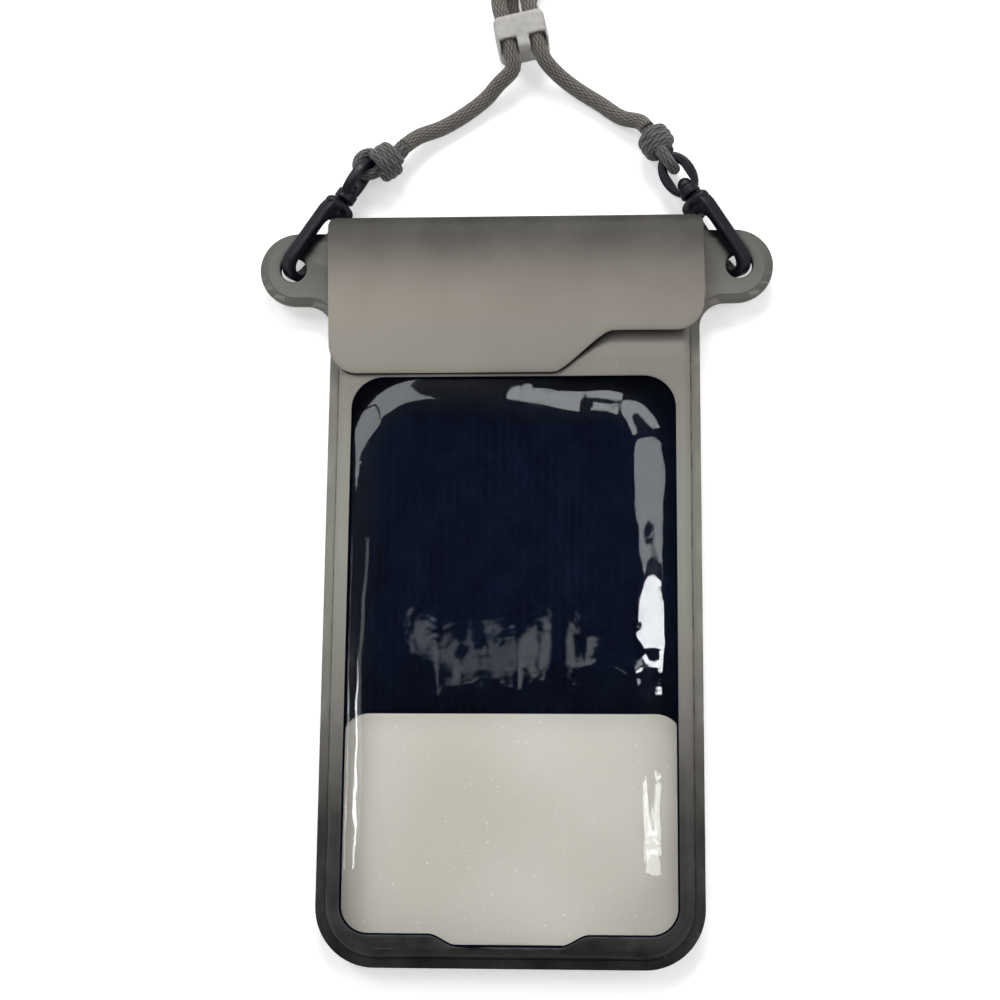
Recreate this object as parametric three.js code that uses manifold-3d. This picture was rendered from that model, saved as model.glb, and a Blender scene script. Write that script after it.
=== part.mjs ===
import * as THREE from 'three';
import { mergeVertices, toCreasedNormals } from 'three/addons/utils/BufferGeometryUtils.js';
import Module from 'manifold-3d';

const wasm = await Module();
wasm.setup();

// Driving sizes of the pouch in millimetres, X right, Y toward the fold, Z up from the back face
const bodyWidth = 110;
const foldTop = 221;
const cornerRadius = 17;
const sheet = 0.8;
const gap = 0.3;
const seamHeight = 5.2;
const weldWidth = 2.5;
const frontRise = 4.2;
const trayTop = 204;
const mouthEdge = 213.5;
const mouthDrop = 2;
const mouthInset = 3.5;
const foldRadius = 3.5;
const flapOverhang = 1.3;
const flapLongEdge = 171.5;
const flapShortEdge = 184;
const flapStepStart = 12.5;
const flapStepEnd = 28.5;

// Windows
const filmThickness = 0.5;
const filmLap = 1.1;
const windowSideMargin = 7.4;
const windowTop = 170.4;
const windowBottom = 9.2;
const windowTopRadius = 8;
const windowBottomRadius = 9.5;
const notchDrop = 3.1;
const notchHalfOuter = 22.5;
const notchHalfInner = 14.5;
const backWindowTop = 72.3;
const backWindowBottom = 7.6;
const backWindowSideMargin = 6.6;

// Ears
const earReach = 10.7;
const earCentreY = 205.4;
const earRadius = 11.3;
const earHoleReach = 11.9;
const earHoleRadius = 3.9;
const earFillet = 7.5;
const earTopFillet = 2;

// Closure in the mouth
const trackWidth = 5;
const trackEndRoom = 4.7;
const trackBase = 0.5;
const trackRib = 0.8;
const tapeEndRoom = 5.7;
const tapeWidth = 7.5;
const tapeThickness = 0.95;

// Hooks, in their own plane: along from the ear hole, high from gate to arm
const hookAxisHeight = 5.4;
const hookRoll = 32;
const leftHeading = 33;
const rightHeading = 31.5;
const armHalfWidth = 1.9;
const armOuter = 5.2;
const armInner = 2.6;
const noseOuter = -5.3;
const noseInner = -3.5;
const bendAlong = 3;
const bendOuterReach = 5.5;
const bendInnerReach = 3.3;
const noseEnd = 4.2;
const baseStart = 19.9;
const baseEnd = 25.4;
const shoulderAlong = 23.8;
const shoulderRadii = [2.4, 5.3, 3.1];
const cheekHalfWidth = 2.6;
const gateHalfWidth = 1.3;
const gateOuter = -4.6;
const gateInner = -3.3;
const gatePivotAlong = 21.5;
const gatePivotHigh = -3.7;
const gateRootRadius = 1.35;
const trunnionRadius = 0.65;
const trunnionReach = 2.4;
const postRadius = 1.2;
const headRadius = 2.1;
const headLength = 2.8;

// Swivel rings
const ringStart = 26.6;
const ringLength = 15;
const ringWidth = 10.4;
const ringBar = 2.6;
const ringThickness = 2.6;
const ringHubRadius = 3;
const ringHubLength = 2.5;
const leftRingTurn = 86;
const rightRingTurn = 12;

// Cords, knots and stopper
const cordDiameter = 4.8;
const bightRadius = 1.7;
const knotAlong = 46.5;
const knotWrapRadius = 3.35;
const knotWrapTube = 1.9;
const knotWrapPitch = 2.6;
const knotSpread = 1.12;
const sideKnotAlong = 43.8;
const sideKnotThick = 4.2;
const sideKnotTurn = 20;
const sideTailEnd = 50.6;
const sideTailThick = 6;
const stopperCentre = [1.5, 279.6];
const stopperTurn = 13;
const stopperWidth = 15.6;
const stopperLength = 11.6;
const stopperHeight = 12.3;
const stopperCorner = 2.2;
const stopperBore = 2.7;
const channelStart = -1.8;
const upperStrand = 9;
const lowerStrand = 3.4;
const upStrandOffset = 4.5;
const returnStrandOffsets = [-0.9, 4.7];
const blindDepth = 7;
const coilCentre = [0.5, 346];
const coilOuterRadius = 42.6;
const coilInnerRadius = 10.4;
const coilHeight = 10;
const strandLift = 0.1;

const halfWidth = bodyWidth / 2;
const windowHalfWidth = halfWidth - windowSideMargin;
const backWindowHalfWidth = halfWidth - backWindowSideMargin;
const earCentreX = halfWidth + earReach;
const earHoleX = halfWidth + earHoleReach;
const trackHalfLength = halfWidth - mouthInset - sheet - trackEndRoom;
const tapeHalfLength = halfWidth - mouthInset - sheet - tapeEndRoom;
const flapHalfWidth = halfWidth + flapOverhang;
const seamBottom = seamHeight - sheet;
const seamTop = seamHeight + sheet;
const landTop = seamTop + frontRise;
const lipTop = landTop - mouthDrop;
const foldCentreY = foldTop - foldRadius;
const foldCentreZ = seamBottom + foldRadius;
const flapTop = seamBottom + 2 * foldRadius;
const flapUnder = flapTop - sheet;
const group = new THREE.Group();

function material(color, roughness, opacity = 1) {
  const transparent = opacity < 1;
  return new THREE.MeshStandardMaterial({ color, roughness, opacity, transparent });
}

const taupePlastic = material(0x6f6a62, 0.5);
const clearFilm = material(0xdfe6ea, 0.1, 0.35);
const navyPlastic = material(0x161a2a, 0.35);
const blackTape = material(0x17181c, 0.9);
const cordFabric = material(0x5d5a55, 0.9);
const frostedPlastic = material(0xbdb9b5, 0.4, 0.8);

function solid(geometry) {
  const bare = new THREE.BufferGeometry();
  bare.setAttribute('position', geometry.getAttribute('position').clone());
  if (geometry.index) {
    bare.setIndex(geometry.index.clone());
  }
  const merged = mergeVertices(bare, 1e-4);
  const mesh = new wasm.Mesh({
    numProp: 3,
    vertProperties: new Float32Array(merged.getAttribute('position').array),
    triVerts: new Uint32Array(merged.index.array),
  });
  return new wasm.Manifold(mesh);
}

function addPart(name, body, look, parentMatrix = null) {
  const mesh = body.getMesh();
  const geometry = new THREE.BufferGeometry();
  geometry.setAttribute('position', new THREE.BufferAttribute(mesh.vertProperties, 3));
  geometry.setIndex(new THREE.BufferAttribute(mesh.triVerts, 1));
  if (parentMatrix) {
    geometry.applyMatrix4(parentMatrix);
  }
  const part = new THREE.Mesh(toCreasedNormals(geometry, 0.6), look);
  part.name = name;
  group.add(part);
}

function prism(shape, bottom, top, curveSegments = 8) {
  const geometry = new THREE.ExtrudeGeometry(shape, { depth: top - bottom, bevelEnabled: false, curveSegments });
  geometry.translate(0, 0, bottom);
  return solid(geometry);
}

function box(x0, x1, y0, y1, z0, z1) {
  const geometry = new THREE.BoxGeometry(x1 - x0, y1 - y0, z1 - z0);
  geometry.translate((x0 + x1) / 2, (y0 + y1) / 2, (z0 + z1) / 2);
  return solid(geometry);
}

// Rounded rectangle with its own radii at the low and high Y ends
function roundedOutline(halfX, y0, y1, lowRadius, highRadius) {
  const shape = new THREE.Shape();
  shape.moveTo(-halfX + lowRadius, y0);
  shape.lineTo(halfX - lowRadius, y0);
  shape.absarc(halfX - lowRadius, y0 + lowRadius, lowRadius, -Math.PI / 2, 0, false);
  shape.lineTo(halfX, y1 - highRadius);
  shape.absarc(halfX - highRadius, y1 - highRadius, highRadius, 0, Math.PI / 2, false);
  shape.lineTo(-halfX + highRadius, y1);
  shape.absarc(-halfX + highRadius, y1 - highRadius, highRadius, Math.PI / 2, Math.PI, false);
  shape.lineTo(-halfX, y0 + lowRadius);
  shape.absarc(-halfX + lowRadius, y0 + lowRadius, lowRadius, Math.PI, Math.PI * 1.5, false);
  return shape;
}

// A formed tray: the outline stepped inward while it rises, levels are [inset, height] from low to high
function formed(halfX, y0, y1, lowRadius, highRadius, levels) {
  const arcSteps = 7;
  const corners = [
    [1, 1, lowRadius, -90],
    [1, -1, highRadius, 0],
    [-1, -1, highRadius, 90],
    [-1, 1, lowRadius, 180],
  ];
  const positions = [];
  for (const [inset, height] of levels) {
    for (const [sideX, sideY, radius, startAngle] of corners) {
      const round = Math.max(radius - inset, 0.6);
      const centreX = sideX * (halfX - inset - round);
      const centreY = sideY > 0 ? y0 + inset + round : y1 - inset - round;
      for (let step = 0; step <= arcSteps; step += 1) {
        const angle = THREE.MathUtils.degToRad(startAngle + (90 * step) / arcSteps);
        positions.push(centreX + round * Math.cos(angle), centreY + round * Math.sin(angle), height);
      }
    }
  }
  const count = 4 * (arcSteps + 1);
  const indices = [];
  for (let level = 0; level + 1 < levels.length; level += 1) {
    for (let step = 0; step < count; step += 1) {
      const a = level * count + step;
      const b = level * count + ((step + 1) % count);
      indices.push(a, b, b + count, a, b + count, a + count);
    }
  }
  const last = (levels.length - 1) * count;
  for (let step = 1; step + 1 < count; step += 1) {
    indices.push(0, step + 1, step);
    indices.push(last, last + step, last + step + 1);
  }
  const geometry = new THREE.BufferGeometry();
  geometry.setAttribute('position', new THREE.Float32BufferAttribute(positions, 3));
  geometry.setIndex(indices);
  return solid(geometry);
}

// Flat welded edge of the pouch with both ears, seen from the front
function seamOutline(topEdge) {
  const shape = new THREE.Shape();
  const earBottom = earCentreY - earRadius;
  const earTop = earCentreY + earRadius;
  const quarter = Math.PI / 2;
  shape.moveTo(-halfWidth + cornerRadius, 0);
  shape.lineTo(halfWidth - cornerRadius, 0);
  shape.absarc(halfWidth - cornerRadius, cornerRadius, cornerRadius, -quarter, 0, false);
  shape.lineTo(halfWidth, earBottom - earFillet);
  shape.absarc(halfWidth + earFillet, earBottom - earFillet, earFillet, Math.PI, quarter, true);
  shape.lineTo(earCentreX, earBottom);
  shape.absarc(earCentreX, earCentreY, earRadius, -quarter, quarter, false);
  shape.lineTo(flapHalfWidth + earTopFillet, earTop);
  shape.lineTo(flapHalfWidth, Math.min(earTop + earTopFillet, topEdge));
  shape.lineTo(flapHalfWidth, topEdge);
  shape.lineTo(-flapHalfWidth, topEdge);
  shape.lineTo(-flapHalfWidth, Math.min(earTop + earTopFillet, topEdge));
  shape.lineTo(-flapHalfWidth - earTopFillet, earTop);
  shape.lineTo(-earCentreX, earTop);
  shape.absarc(-earCentreX, earCentreY, earRadius, quarter, 3 * quarter, false);
  shape.lineTo(-halfWidth - earFillet, earBottom);
  shape.absarc(-halfWidth - earFillet, earBottom - earFillet, earFillet, quarter, 0, true);
  shape.lineTo(-halfWidth, cornerRadius);
  shape.absarc(-halfWidth + cornerRadius, cornerRadius, cornerRadius, Math.PI, 3 * quarter, false);
  for (const side of [-1, 1]) {
    const hole = new THREE.Path();
    hole.absarc(side * earHoleX, earCentreY, earHoleRadius, 0, Math.PI * 2, false);
    shape.holes.push(hole);
  }
  return shape;
}

// Window outline with the shallow notch in its lower edge, grown outward by a lap
function windowOutline(lap) {
  const shape = new THREE.Shape();
  const halfX = windowHalfWidth + lap;
  const low = windowBottom - lap;
  const high = windowTop + lap;
  const lowRadius = windowBottomRadius + lap;
  const highRadius = windowTopRadius + lap;
  shape.moveTo(-halfX + lowRadius, low);
  shape.lineTo(-notchHalfOuter - lap, low);
  shape.bezierCurveTo(-notchHalfOuter + 3, low, -notchHalfInner - 3, low - notchDrop, -notchHalfInner, low - notchDrop);
  shape.lineTo(notchHalfInner, low - notchDrop);
  shape.bezierCurveTo(notchHalfInner + 3, low - notchDrop, notchHalfOuter - 3, low, notchHalfOuter + lap, low);
  shape.lineTo(halfX - lowRadius, low);
  shape.absarc(halfX - lowRadius, low + lowRadius, lowRadius, -Math.PI / 2, 0, false);
  shape.lineTo(halfX, high - highRadius);
  shape.absarc(halfX - highRadius, high - highRadius, highRadius, 0, Math.PI / 2, false);
  shape.lineTo(-halfX + highRadius, high);
  shape.absarc(-halfX + highRadius, high - highRadius, highRadius, Math.PI / 2, Math.PI, false);
  shape.lineTo(-halfX, low + lowRadius);
  shape.absarc(-halfX + lowRadius, low + lowRadius, lowRadius, Math.PI, Math.PI * 1.5, false);
  return shape;
}

// Front frame: welded edge, formed shoulder, lip at the mouth and the window cut-out
const shoulder = [[0, 0], [0.2, 0.29], [0.6, 0.57], [1.2, 0.81], [1.9, 0.95], [2.5, 1]];
const trayHalfX = halfWidth - weldWidth;
const outerLevels = shoulder.map(([inset, share]) => [inset, seamTop + share * frontRise]);
const innerLevels = [[0, seamHeight - 1], ...shoulder.map(([inset, share]) => [inset, seamHeight + share * frontRise])];
const lipHalfX = halfWidth - mouthInset;
const lipRise = frontRise - mouthDrop;
const lipOuterLevels = shoulder.map(([inset, share]) => [inset * 0.6, seamTop + share * lipRise]);
const lipInnerLevels = [
  [0, seamHeight - 1],
  ...shoulder.map(([inset, share]) => [inset * 0.6, seamHeight + share * lipRise]),
];
const lipBuried = 20;
const lipStart = trayTop - lipBuried;
const abovePouch = landTop + 10;
const earTop = earCentreY + earRadius;
const pastMouth = mouthEdge + 2 * foldRadius;
let frame = prism(seamOutline(earTop), seamHeight, seamTop);
frame = frame.add(formed(trayHalfX, weldWidth, trayTop, cornerRadius - weldWidth, 8, outerLevels));
const lipOuter = formed(lipHalfX, lipStart, pastMouth, 3, 3, lipOuterLevels);
frame = frame.add(lipOuter.subtract(box(-bodyWidth, bodyWidth, mouthEdge, pastMouth + 1, 0, abovePouch)));
const wall = sheet;
frame = frame.subtract(
  formed(trayHalfX - wall, weldWidth + wall, trayTop - wall, cornerRadius - weldWidth - wall, 8 - wall, innerLevels),
);
frame = frame.subtract(formed(lipHalfX - wall, lipStart + wall, pastMouth + 1, 3, 3, lipInnerLevels));
frame = frame.subtract(prism(windowOutline(0), seamHeight, landTop + 1));
addPart('front_frame', frame, taupePlastic);

// Front window film, welded under the land of the frame
const filmTop = landTop - sheet;
const filmRoom = formed(
  trayHalfX - wall - 0.1,
  weldWidth + wall + 0.1,
  trayTop - wall - 0.1,
  cornerRadius - weldWidth - wall,
  8 - wall,
  innerLevels,
);
const frontFilm = prism(windowOutline(filmLap), filmTop - filmThickness, filmTop);
addPart('front_window', frontFilm.intersect(filmRoom), clearFilm);

// Back panel: back tray, ears' back layer, fold and stepped flap in one sheet
const backShoulder = [[1.9, 0], [1.2, 0.06], [0.6, 0.25], [0.25, 0.6], [0, 1]];
const backDepth = seamBottom;
const backOuterLevels = backShoulder.map(([inset, share]) => [inset, share * backDepth]);
backOuterLevels.push([0, seamHeight]);
const backInnerLevels = backShoulder.map(([inset, share]) => [inset, sheet + share * backDepth]);
backInnerLevels.push([0, seamHeight + 1]);

function foldProfile() {
  const steps = 12;
  const points = [[mouthEdge, seamBottom]];
  for (let step = 0; step <= steps; step += 1) {
    const angle = -Math.PI / 2 + (Math.PI * step) / steps;
    points.push([foldCentreY + foldRadius * Math.cos(angle), foldCentreZ + foldRadius * Math.sin(angle)]);
  }
  points.push([flapLongEdge - 1, flapTop], [flapLongEdge - 1, flapUnder]);
  for (let step = steps; step >= 0; step -= 1) {
    const angle = -Math.PI / 2 + (Math.PI * step) / steps;
    const inner = foldRadius - sheet;
    points.push([foldCentreY + inner * Math.cos(angle), foldCentreZ + inner * Math.sin(angle)]);
  }
  points.push([mouthEdge, seamHeight]);
  return new THREE.Shape(points.map(([y, z]) => new THREE.Vector2(y, z)));
}

// Plan of the folded strip: long flap at the left, step, short flap at the right
function flapOutline() {
  const shape = new THREE.Shape();
  const leftRadius = 10;
  const rightRadius = 8.5;
  const foldCorner = 2.6;
  const stepRound = 3.6;
  const quarter = Math.PI / 2;
  const slope = (flapShortEdge - flapLongEdge) / (flapStepEnd - flapStepStart);
  shape.moveTo(-flapHalfWidth + leftRadius, flapLongEdge);
  shape.lineTo(flapStepStart, flapLongEdge);
  shape.quadraticCurveTo(
    flapStepStart + stepRound * 0.7,
    flapLongEdge,
    flapStepStart + stepRound * 1.25,
    flapLongEdge + stepRound * 0.75,
  );
  shape.lineTo(flapStepEnd - stepRound * 1.5, flapShortEdge - stepRound * 0.75 * slope * 1.2);
  shape.quadraticCurveTo(flapStepEnd - stepRound * 0.6, flapShortEdge, flapStepEnd, flapShortEdge);
  shape.lineTo(flapHalfWidth - rightRadius, flapShortEdge);
  shape.absarc(flapHalfWidth - rightRadius, flapShortEdge + rightRadius, rightRadius, -quarter, 0, false);
  shape.absarc(flapHalfWidth - foldCorner, foldTop - foldCorner, foldCorner, 0, quarter, false);
  shape.absarc(-flapHalfWidth + foldCorner, foldTop - foldCorner, foldCorner, quarter, 2 * quarter, false);
  shape.lineTo(-flapHalfWidth, flapLongEdge + leftRadius);
  shape.absarc(-flapHalfWidth + leftRadius, flapLongEdge + leftRadius, leftRadius, 2 * quarter, 3 * quarter, false);
  return shape;
}

const foldGeometry = new THREE.ExtrudeGeometry(foldProfile(), { depth: 2 * flapHalfWidth, bevelEnabled: false });
foldGeometry.rotateY(Math.PI / 2);
foldGeometry.rotateX(Math.PI / 2);
foldGeometry.translate(-flapHalfWidth, 0, 0);
let back = prism(seamOutline(foldCentreY), seamBottom, seamHeight);
back = back.add(formed(trayHalfX, weldWidth, trayTop, cornerRadius - weldWidth, 8, backOuterLevels));
back = back.subtract(
  formed(trayHalfX - wall, weldWidth + wall, trayTop - wall, cornerRadius - weldWidth - wall, 8 - wall, backInnerLevels),
);
back = back.subtract(box(-bodyWidth, bodyWidth, -1, foldTop, seamHeight, seamHeight + 3));
back = back.add(solid(foldGeometry).intersect(prism(flapOutline(), -1, flapTop + 1)));
const backOpening = roundedOutline(backWindowHalfWidth, backWindowBottom, backWindowTop, 9, 7);
back = back.subtract(prism(backOpening, -1, sheet + 0.4));
addPart('back_panel', back, taupePlastic);

// Back window film, welded inside the tray's floor
const backRoom = formed(
  trayHalfX - wall - 0.1,
  weldWidth + wall + 0.1,
  trayTop - wall - 0.1,
  cornerRadius - weldWidth - wall,
  8 - wall,
  backInnerLevels,
);
const backFilmOutline = roundedOutline(
  backWindowHalfWidth + filmLap,
  backWindowBottom - filmLap,
  backWindowTop + 2 * filmLap,
  9 + filmLap,
  7 + filmLap,
);
addPart('back_window', prism(backFilmOutline, sheet, sheet + filmThickness).intersect(backRoom), clearFilm);

// Press-to-close tracks between the mouth lip and the back sheet
const trackY = mouthEdge - trackWidth / 2 - 1;
const trackLow = trackY - trackWidth / 2;
const trackHigh = trackY + trackWidth / 2;
const lipUnder = lipTop - sheet;
const ribTop = lipUnder - trackBase - gap;
const backTrack = box(-trackHalfLength, trackHalfLength, trackLow, trackHigh, seamHeight, seamHeight + trackBase);
const maleRib = box(
  -trackHalfLength,
  trackHalfLength,
  trackY - trackRib / 2,
  trackY + trackRib / 2,
  seamHeight + trackBase / 2,
  ribTop,
);
addPart('zip_track_back', backTrack.add(maleRib), clearFilm);
let frontTrack = box(-trackHalfLength, trackHalfLength, trackLow, trackHigh, lipUnder - trackBase, lipUnder);
for (const side of [-1, 1]) {
  const lipY = trackY + side * (trackRib + gap);
  const lip = box(
    -trackHalfLength,
    trackHalfLength,
    lipY - trackRib / 2,
    lipY + trackRib / 2,
    seamHeight + trackBase + gap,
    lipUnder - trackBase / 2,
  );
  frontTrack = frontTrack.add(lip);
}
addPart('zip_track_front', frontTrack, clearFilm);

// Hook-and-loop tapes between the lip and the flap
const tapeHigh = mouthEdge - 0.8;
const tapeLow = tapeHigh - tapeWidth;
addPart(
  'front_loop_strip',
  box(-tapeHalfLength, tapeHalfLength, tapeLow, tapeHigh, lipTop, lipTop + tapeThickness),
  blackTape,
);
addPart(
  'flap_hook_strip',
  box(-tapeHalfLength, tapeHalfLength, tapeLow, tapeHigh, flapUnder - tapeThickness, flapUnder),
  blackTape,
);

// Profile of a hook in its own plane, along the axis and high toward the arm
function hookProfile() {
  const shape = new THREE.Shape();
  const outerMiddle = (armOuter + noseOuter) / 2;
  const innerMiddle = (armInner + noseInner) / 2;
  const outerHigh = (armOuter - noseOuter) / 2;
  const innerHigh = (armInner - noseInner) / 2;
  shape.moveTo(noseEnd, noseInner - 0.2);
  shape.lineTo(noseEnd - 0.2, noseOuter + 0.5);
  shape.quadraticCurveTo(noseEnd - 0.4, noseOuter, bendAlong, noseOuter);
  shape.absellipse(bendAlong, outerMiddle, bendOuterReach, outerHigh, 1.5 * Math.PI, Math.PI / 2, true);
  shape.lineTo(baseStart, armOuter - 0.1);
  shape.quadraticCurveTo(baseEnd, armOuter - 0.2, baseEnd, 0.8);
  shape.lineTo(baseEnd, -1.2);
  shape.lineTo(baseStart + 1, -1.2);
  shape.quadraticCurveTo(baseStart - 0.4, armInner - 0.2, baseStart - 4, armInner);
  shape.lineTo(bendAlong, armInner);
  shape.absellipse(bendAlong, innerMiddle, bendInnerReach, innerHigh, Math.PI / 2, 1.5 * Math.PI, false);
  return shape;
}

// Extrudes a profile given along and high, centred on the hook's plane
function plate(shape, halfThickness, bevel, curveSegments = 8) {
  const geometry = new THREE.ExtrudeGeometry(shape, {
    depth: 2 * (halfThickness - bevel),
    bevelEnabled: bevel > 0,
    bevelThickness: bevel,
    bevelSize: bevel,
    bevelOffset: -bevel,
    bevelSegments: 2,
    curveSegments,
  });
  geometry.translate(0, 0, -halfThickness + bevel);
  return solid(geometry);
}

function rod(radius, along, high, halfLength, sides = 16) {
  const geometry = new THREE.CylinderGeometry(radius, radius, 2 * halfLength, sides);
  geometry.rotateX(Math.PI / 2);
  geometry.translate(along, high, 0);
  return solid(geometry);
}

function spindle(profile, sides = 20) {
  const points = profile.map(([radius, along]) => new THREE.Vector2(radius, along));
  const geometry = new THREE.LatheGeometry(points, sides);
  geometry.rotateZ(-Math.PI / 2);
  return solid(geometry);
}

function slab(a0, a1, h0, h1, t0, t1) {
  return box(a0, a1, h0, h1, t0, t1);
}

function hookBody() {
  let body = plate(hookProfile(), armHalfWidth, 0.5);
  const cheeks = new THREE.Shape();
  cheeks.moveTo(baseStart, gateOuter + 0.6);
  cheeks.quadraticCurveTo(baseStart, gateOuter, baseStart + 0.8, gateOuter);
  cheeks.lineTo(baseEnd - 1.6, gateOuter);
  cheeks.quadraticCurveTo(baseEnd, gateOuter, baseEnd, -1);
  cheeks.lineTo(baseEnd, 1.5);
  cheeks.lineTo(baseStart + 1.6, 1.5);
  cheeks.quadraticCurveTo(baseStart, 0.6, baseStart, -2);
  body = body.add(plate(cheeks, cheekHalfWidth, 0.4, 5));
  const shoulder3 = new THREE.SphereGeometry(1, 18, 10);
  shoulder3.scale(...shoulderRadii);
  shoulder3.translate(shoulderAlong, 0, 0);
  body = body.add(solid(shoulder3));
  const slotHalf = gateHalfWidth + gap;
  const slotEnd = gatePivotAlong + gateRootRadius + gap;
  const slotTop = gatePivotHigh + gateRootRadius + gap;
  body = body.subtract(slab(baseStart - 2, slotEnd, gateOuter - 3, slotTop, -slotHalf, slotHalf));
  body = body.subtract(rod(trunnionRadius + gap, gatePivotAlong, gatePivotHigh, cheekHalfWidth + 1));
  const hubEnd = ringStart + ringHubLength;
  const headStart = hubEnd + gap;
  body = body.add(
    spindle([
      [0, baseEnd - 1],
      [postRadius, baseEnd - 1],
      [postRadius, headStart],
      [headRadius, headStart],
      [headRadius, headStart + headLength * 0.35],
      [headRadius * 0.8, headStart + headLength * 0.72],
      [headRadius * 0.42, headStart + headLength * 0.95],
      [0, headStart + headLength],
    ]),
  );
  return body;
}

function hookGate() {
  const shape = new THREE.Shape();
  shape.moveTo(noseEnd + gap + 0.1, gateInner - 0.9);
  shape.lineTo(noseEnd + gap + 0.1, gateInner - 0.2);
  shape.lineTo(noseEnd + gap + 1.4, gateInner);
  shape.lineTo(gatePivotAlong, gateInner);
  shape.lineTo(gatePivotAlong, gateOuter);
  shape.lineTo(noseEnd + gap + 2, gateOuter);
  let gate = plate(shape, gateHalfWidth, 0.25, 3);
  gate = gate.add(rod(gateRootRadius, gatePivotAlong, gatePivotHigh, gateHalfWidth));
  return gate.add(rod(trunnionRadius, gatePivotAlong, gatePivotHigh, trunnionReach));
}

// An oval ring with a hub at its lower end, its opening clear of the post's head
const hubEnd = ringStart + ringHubLength;

// The oval loop of the ring; room makes it stouter, for the recess that it presses into a knot
function ringLoop(room) {
  const shape = new THREE.Shape();
  const centre = ringStart + ringLength / 2;
  shape.absellipse(centre, 0, ringLength / 2 + room, ringWidth / 2 + room, 0, Math.PI * 2, false);
  const loop = plate(shape, ringThickness / 2 + room, 0.6, 14);
  const opening = new THREE.Shape();
  const openEnd = ringStart + ringLength - ringBar - room;
  const openHalf = ringWidth / 2 - ringBar - room;
  opening.moveTo(hubEnd, -openHalf);
  opening.lineTo(openEnd - openHalf * 1.3, -openHalf);
  opening.absellipse(openEnd - openHalf * 1.3, 0, openHalf * 1.3, openHalf, -Math.PI / 2, Math.PI / 2, false);
  opening.lineTo(hubEnd, openHalf);
  return loop.subtract(prism(opening, -ringThickness, ringThickness));
}

function swivelRing() {
  let ring = ringLoop(0);
  ring = ring.add(spindle([[0, ringStart], [ringHubRadius, ringStart], [ringHubRadius, hubEnd], [0, hubEnd]]));
  ring = ring.subtract(spindle([[0, ringStart - 1], [postRadius + gap, ringStart - 1], [postRadius + gap, hubEnd + 1], [0, hubEnd + 1]]));
  return ring;
}

// A tube along a hand-placed centreline
function tube(points, radius, sides, steps) {
  const curve = new THREE.CatmullRomCurve3(points.map((point) => new THREE.Vector3(...point)), false, 'centripetal');
  const section = new THREE.Shape();
  for (let side = 0; side < sides; side += 1) {
    const angle = (2 * Math.PI * side) / sides;
    const x = radius * Math.cos(angle);
    const y = radius * Math.sin(angle);
    if (side === 0) {
      section.moveTo(x, y);
    } else {
      section.lineTo(x, y);
    }
  }
  return solid(new THREE.ExtrudeGeometry(section, { steps, extrudePath: curve, bevelEnabled: false }));
}

// A bight round the ring's far bar, gathered by three wraps; the cord lies across the ring's plane
function knot() {
  const barMiddle = ringStart + ringLength - ringBar / 2;
  const reach = ringThickness / 2 + gap + bightRadius + 0.1;
  const turn = barMiddle - ringBar / 2 - gap - bightRadius - 0.4;
  const bight = tube(
    [
      [knotAlong, 0, reach * 0.9],
      [barMiddle, 0, reach],
      [turn + 1.2, 0, reach * 0.82],
      [turn, 0, 0],
      [turn + 1.2, 0, -reach * 0.82],
      [barMiddle, 0, -reach],
      [knotAlong, 0, -reach * 0.9],
    ],
    bightRadius,
    8,
    14,
  );
  let lump = bight;
  for (const along of [-knotWrapPitch, 0, knotWrapPitch]) {
    const wrap = new THREE.TorusGeometry(knotWrapRadius, knotWrapTube, 8, 16);
    wrap.rotateY(Math.PI / 2);
    wrap.scale(1, knotSpread, 1);
    wrap.translate(knotAlong + along, 0, 0);
    lump = lump.add(solid(wrap));
  }
  const core = new THREE.SphereGeometry(1, 12, 8);
  core.scale(4.2, knotWrapRadius, knotWrapRadius);
  core.translate(knotAlong, 0, 0);
  return lump.add(solid(core));
}

// The left knot has slipped to the side of its ring: the loop goes round the bar and the wraps sit beside it
function sideKnot() {
  const barMiddle = ringStart + ringLength - ringBar / 2;
  const reach = ringThickness / 2 + gap + bightRadius + 0.05;
  const route = [];
  for (let degrees = 40; degrees >= -240; degrees -= 35) {
    const angle = THREE.MathUtils.degToRad(degrees);
    route.push([barMiddle + reach * Math.cos(angle), 0, reach * Math.sin(angle)]);
  }
  route.push([barMiddle + 1.6, 0, reach + 1.2]);
  let lump = tube(route, bightRadius, 8, 16);
  const wraps = [];
  for (const along of [-knotWrapPitch, 0, knotWrapPitch]) {
    const wrap = new THREE.TorusGeometry(knotWrapRadius + 0.15, knotWrapTube, 8, 16);
    wrap.rotateY(Math.PI / 2);
    wrap.scale(1, 0.98, 1.05);
    wrap.translate(along, 0, 0);
    wraps.push(wrap);
  }
  const core = new THREE.SphereGeometry(1, 12, 8);
  core.scale(4.2, knotWrapRadius, knotWrapRadius);
  wraps.push(core);
  for (const wrap of wraps) {
    wrap.rotateY(THREE.MathUtils.degToRad(-sideKnotTurn));
    wrap.translate(sideKnotAlong, 0, sideKnotThick);
    lump = lump.add(solid(wrap));
  }
  const tail = [
    [sideKnotAlong, 0, sideKnotThick],
    [47.4, 0, 5.6],
    [sideTailEnd - 1.4, 0, sideTailThick],
    [sideTailEnd, 0, sideTailThick],
  ];
  lump = lump.add(tube(tail, cordDiameter / 2, 6, 12));
  return lump.subtract(ringLoop(gap));
}

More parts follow.
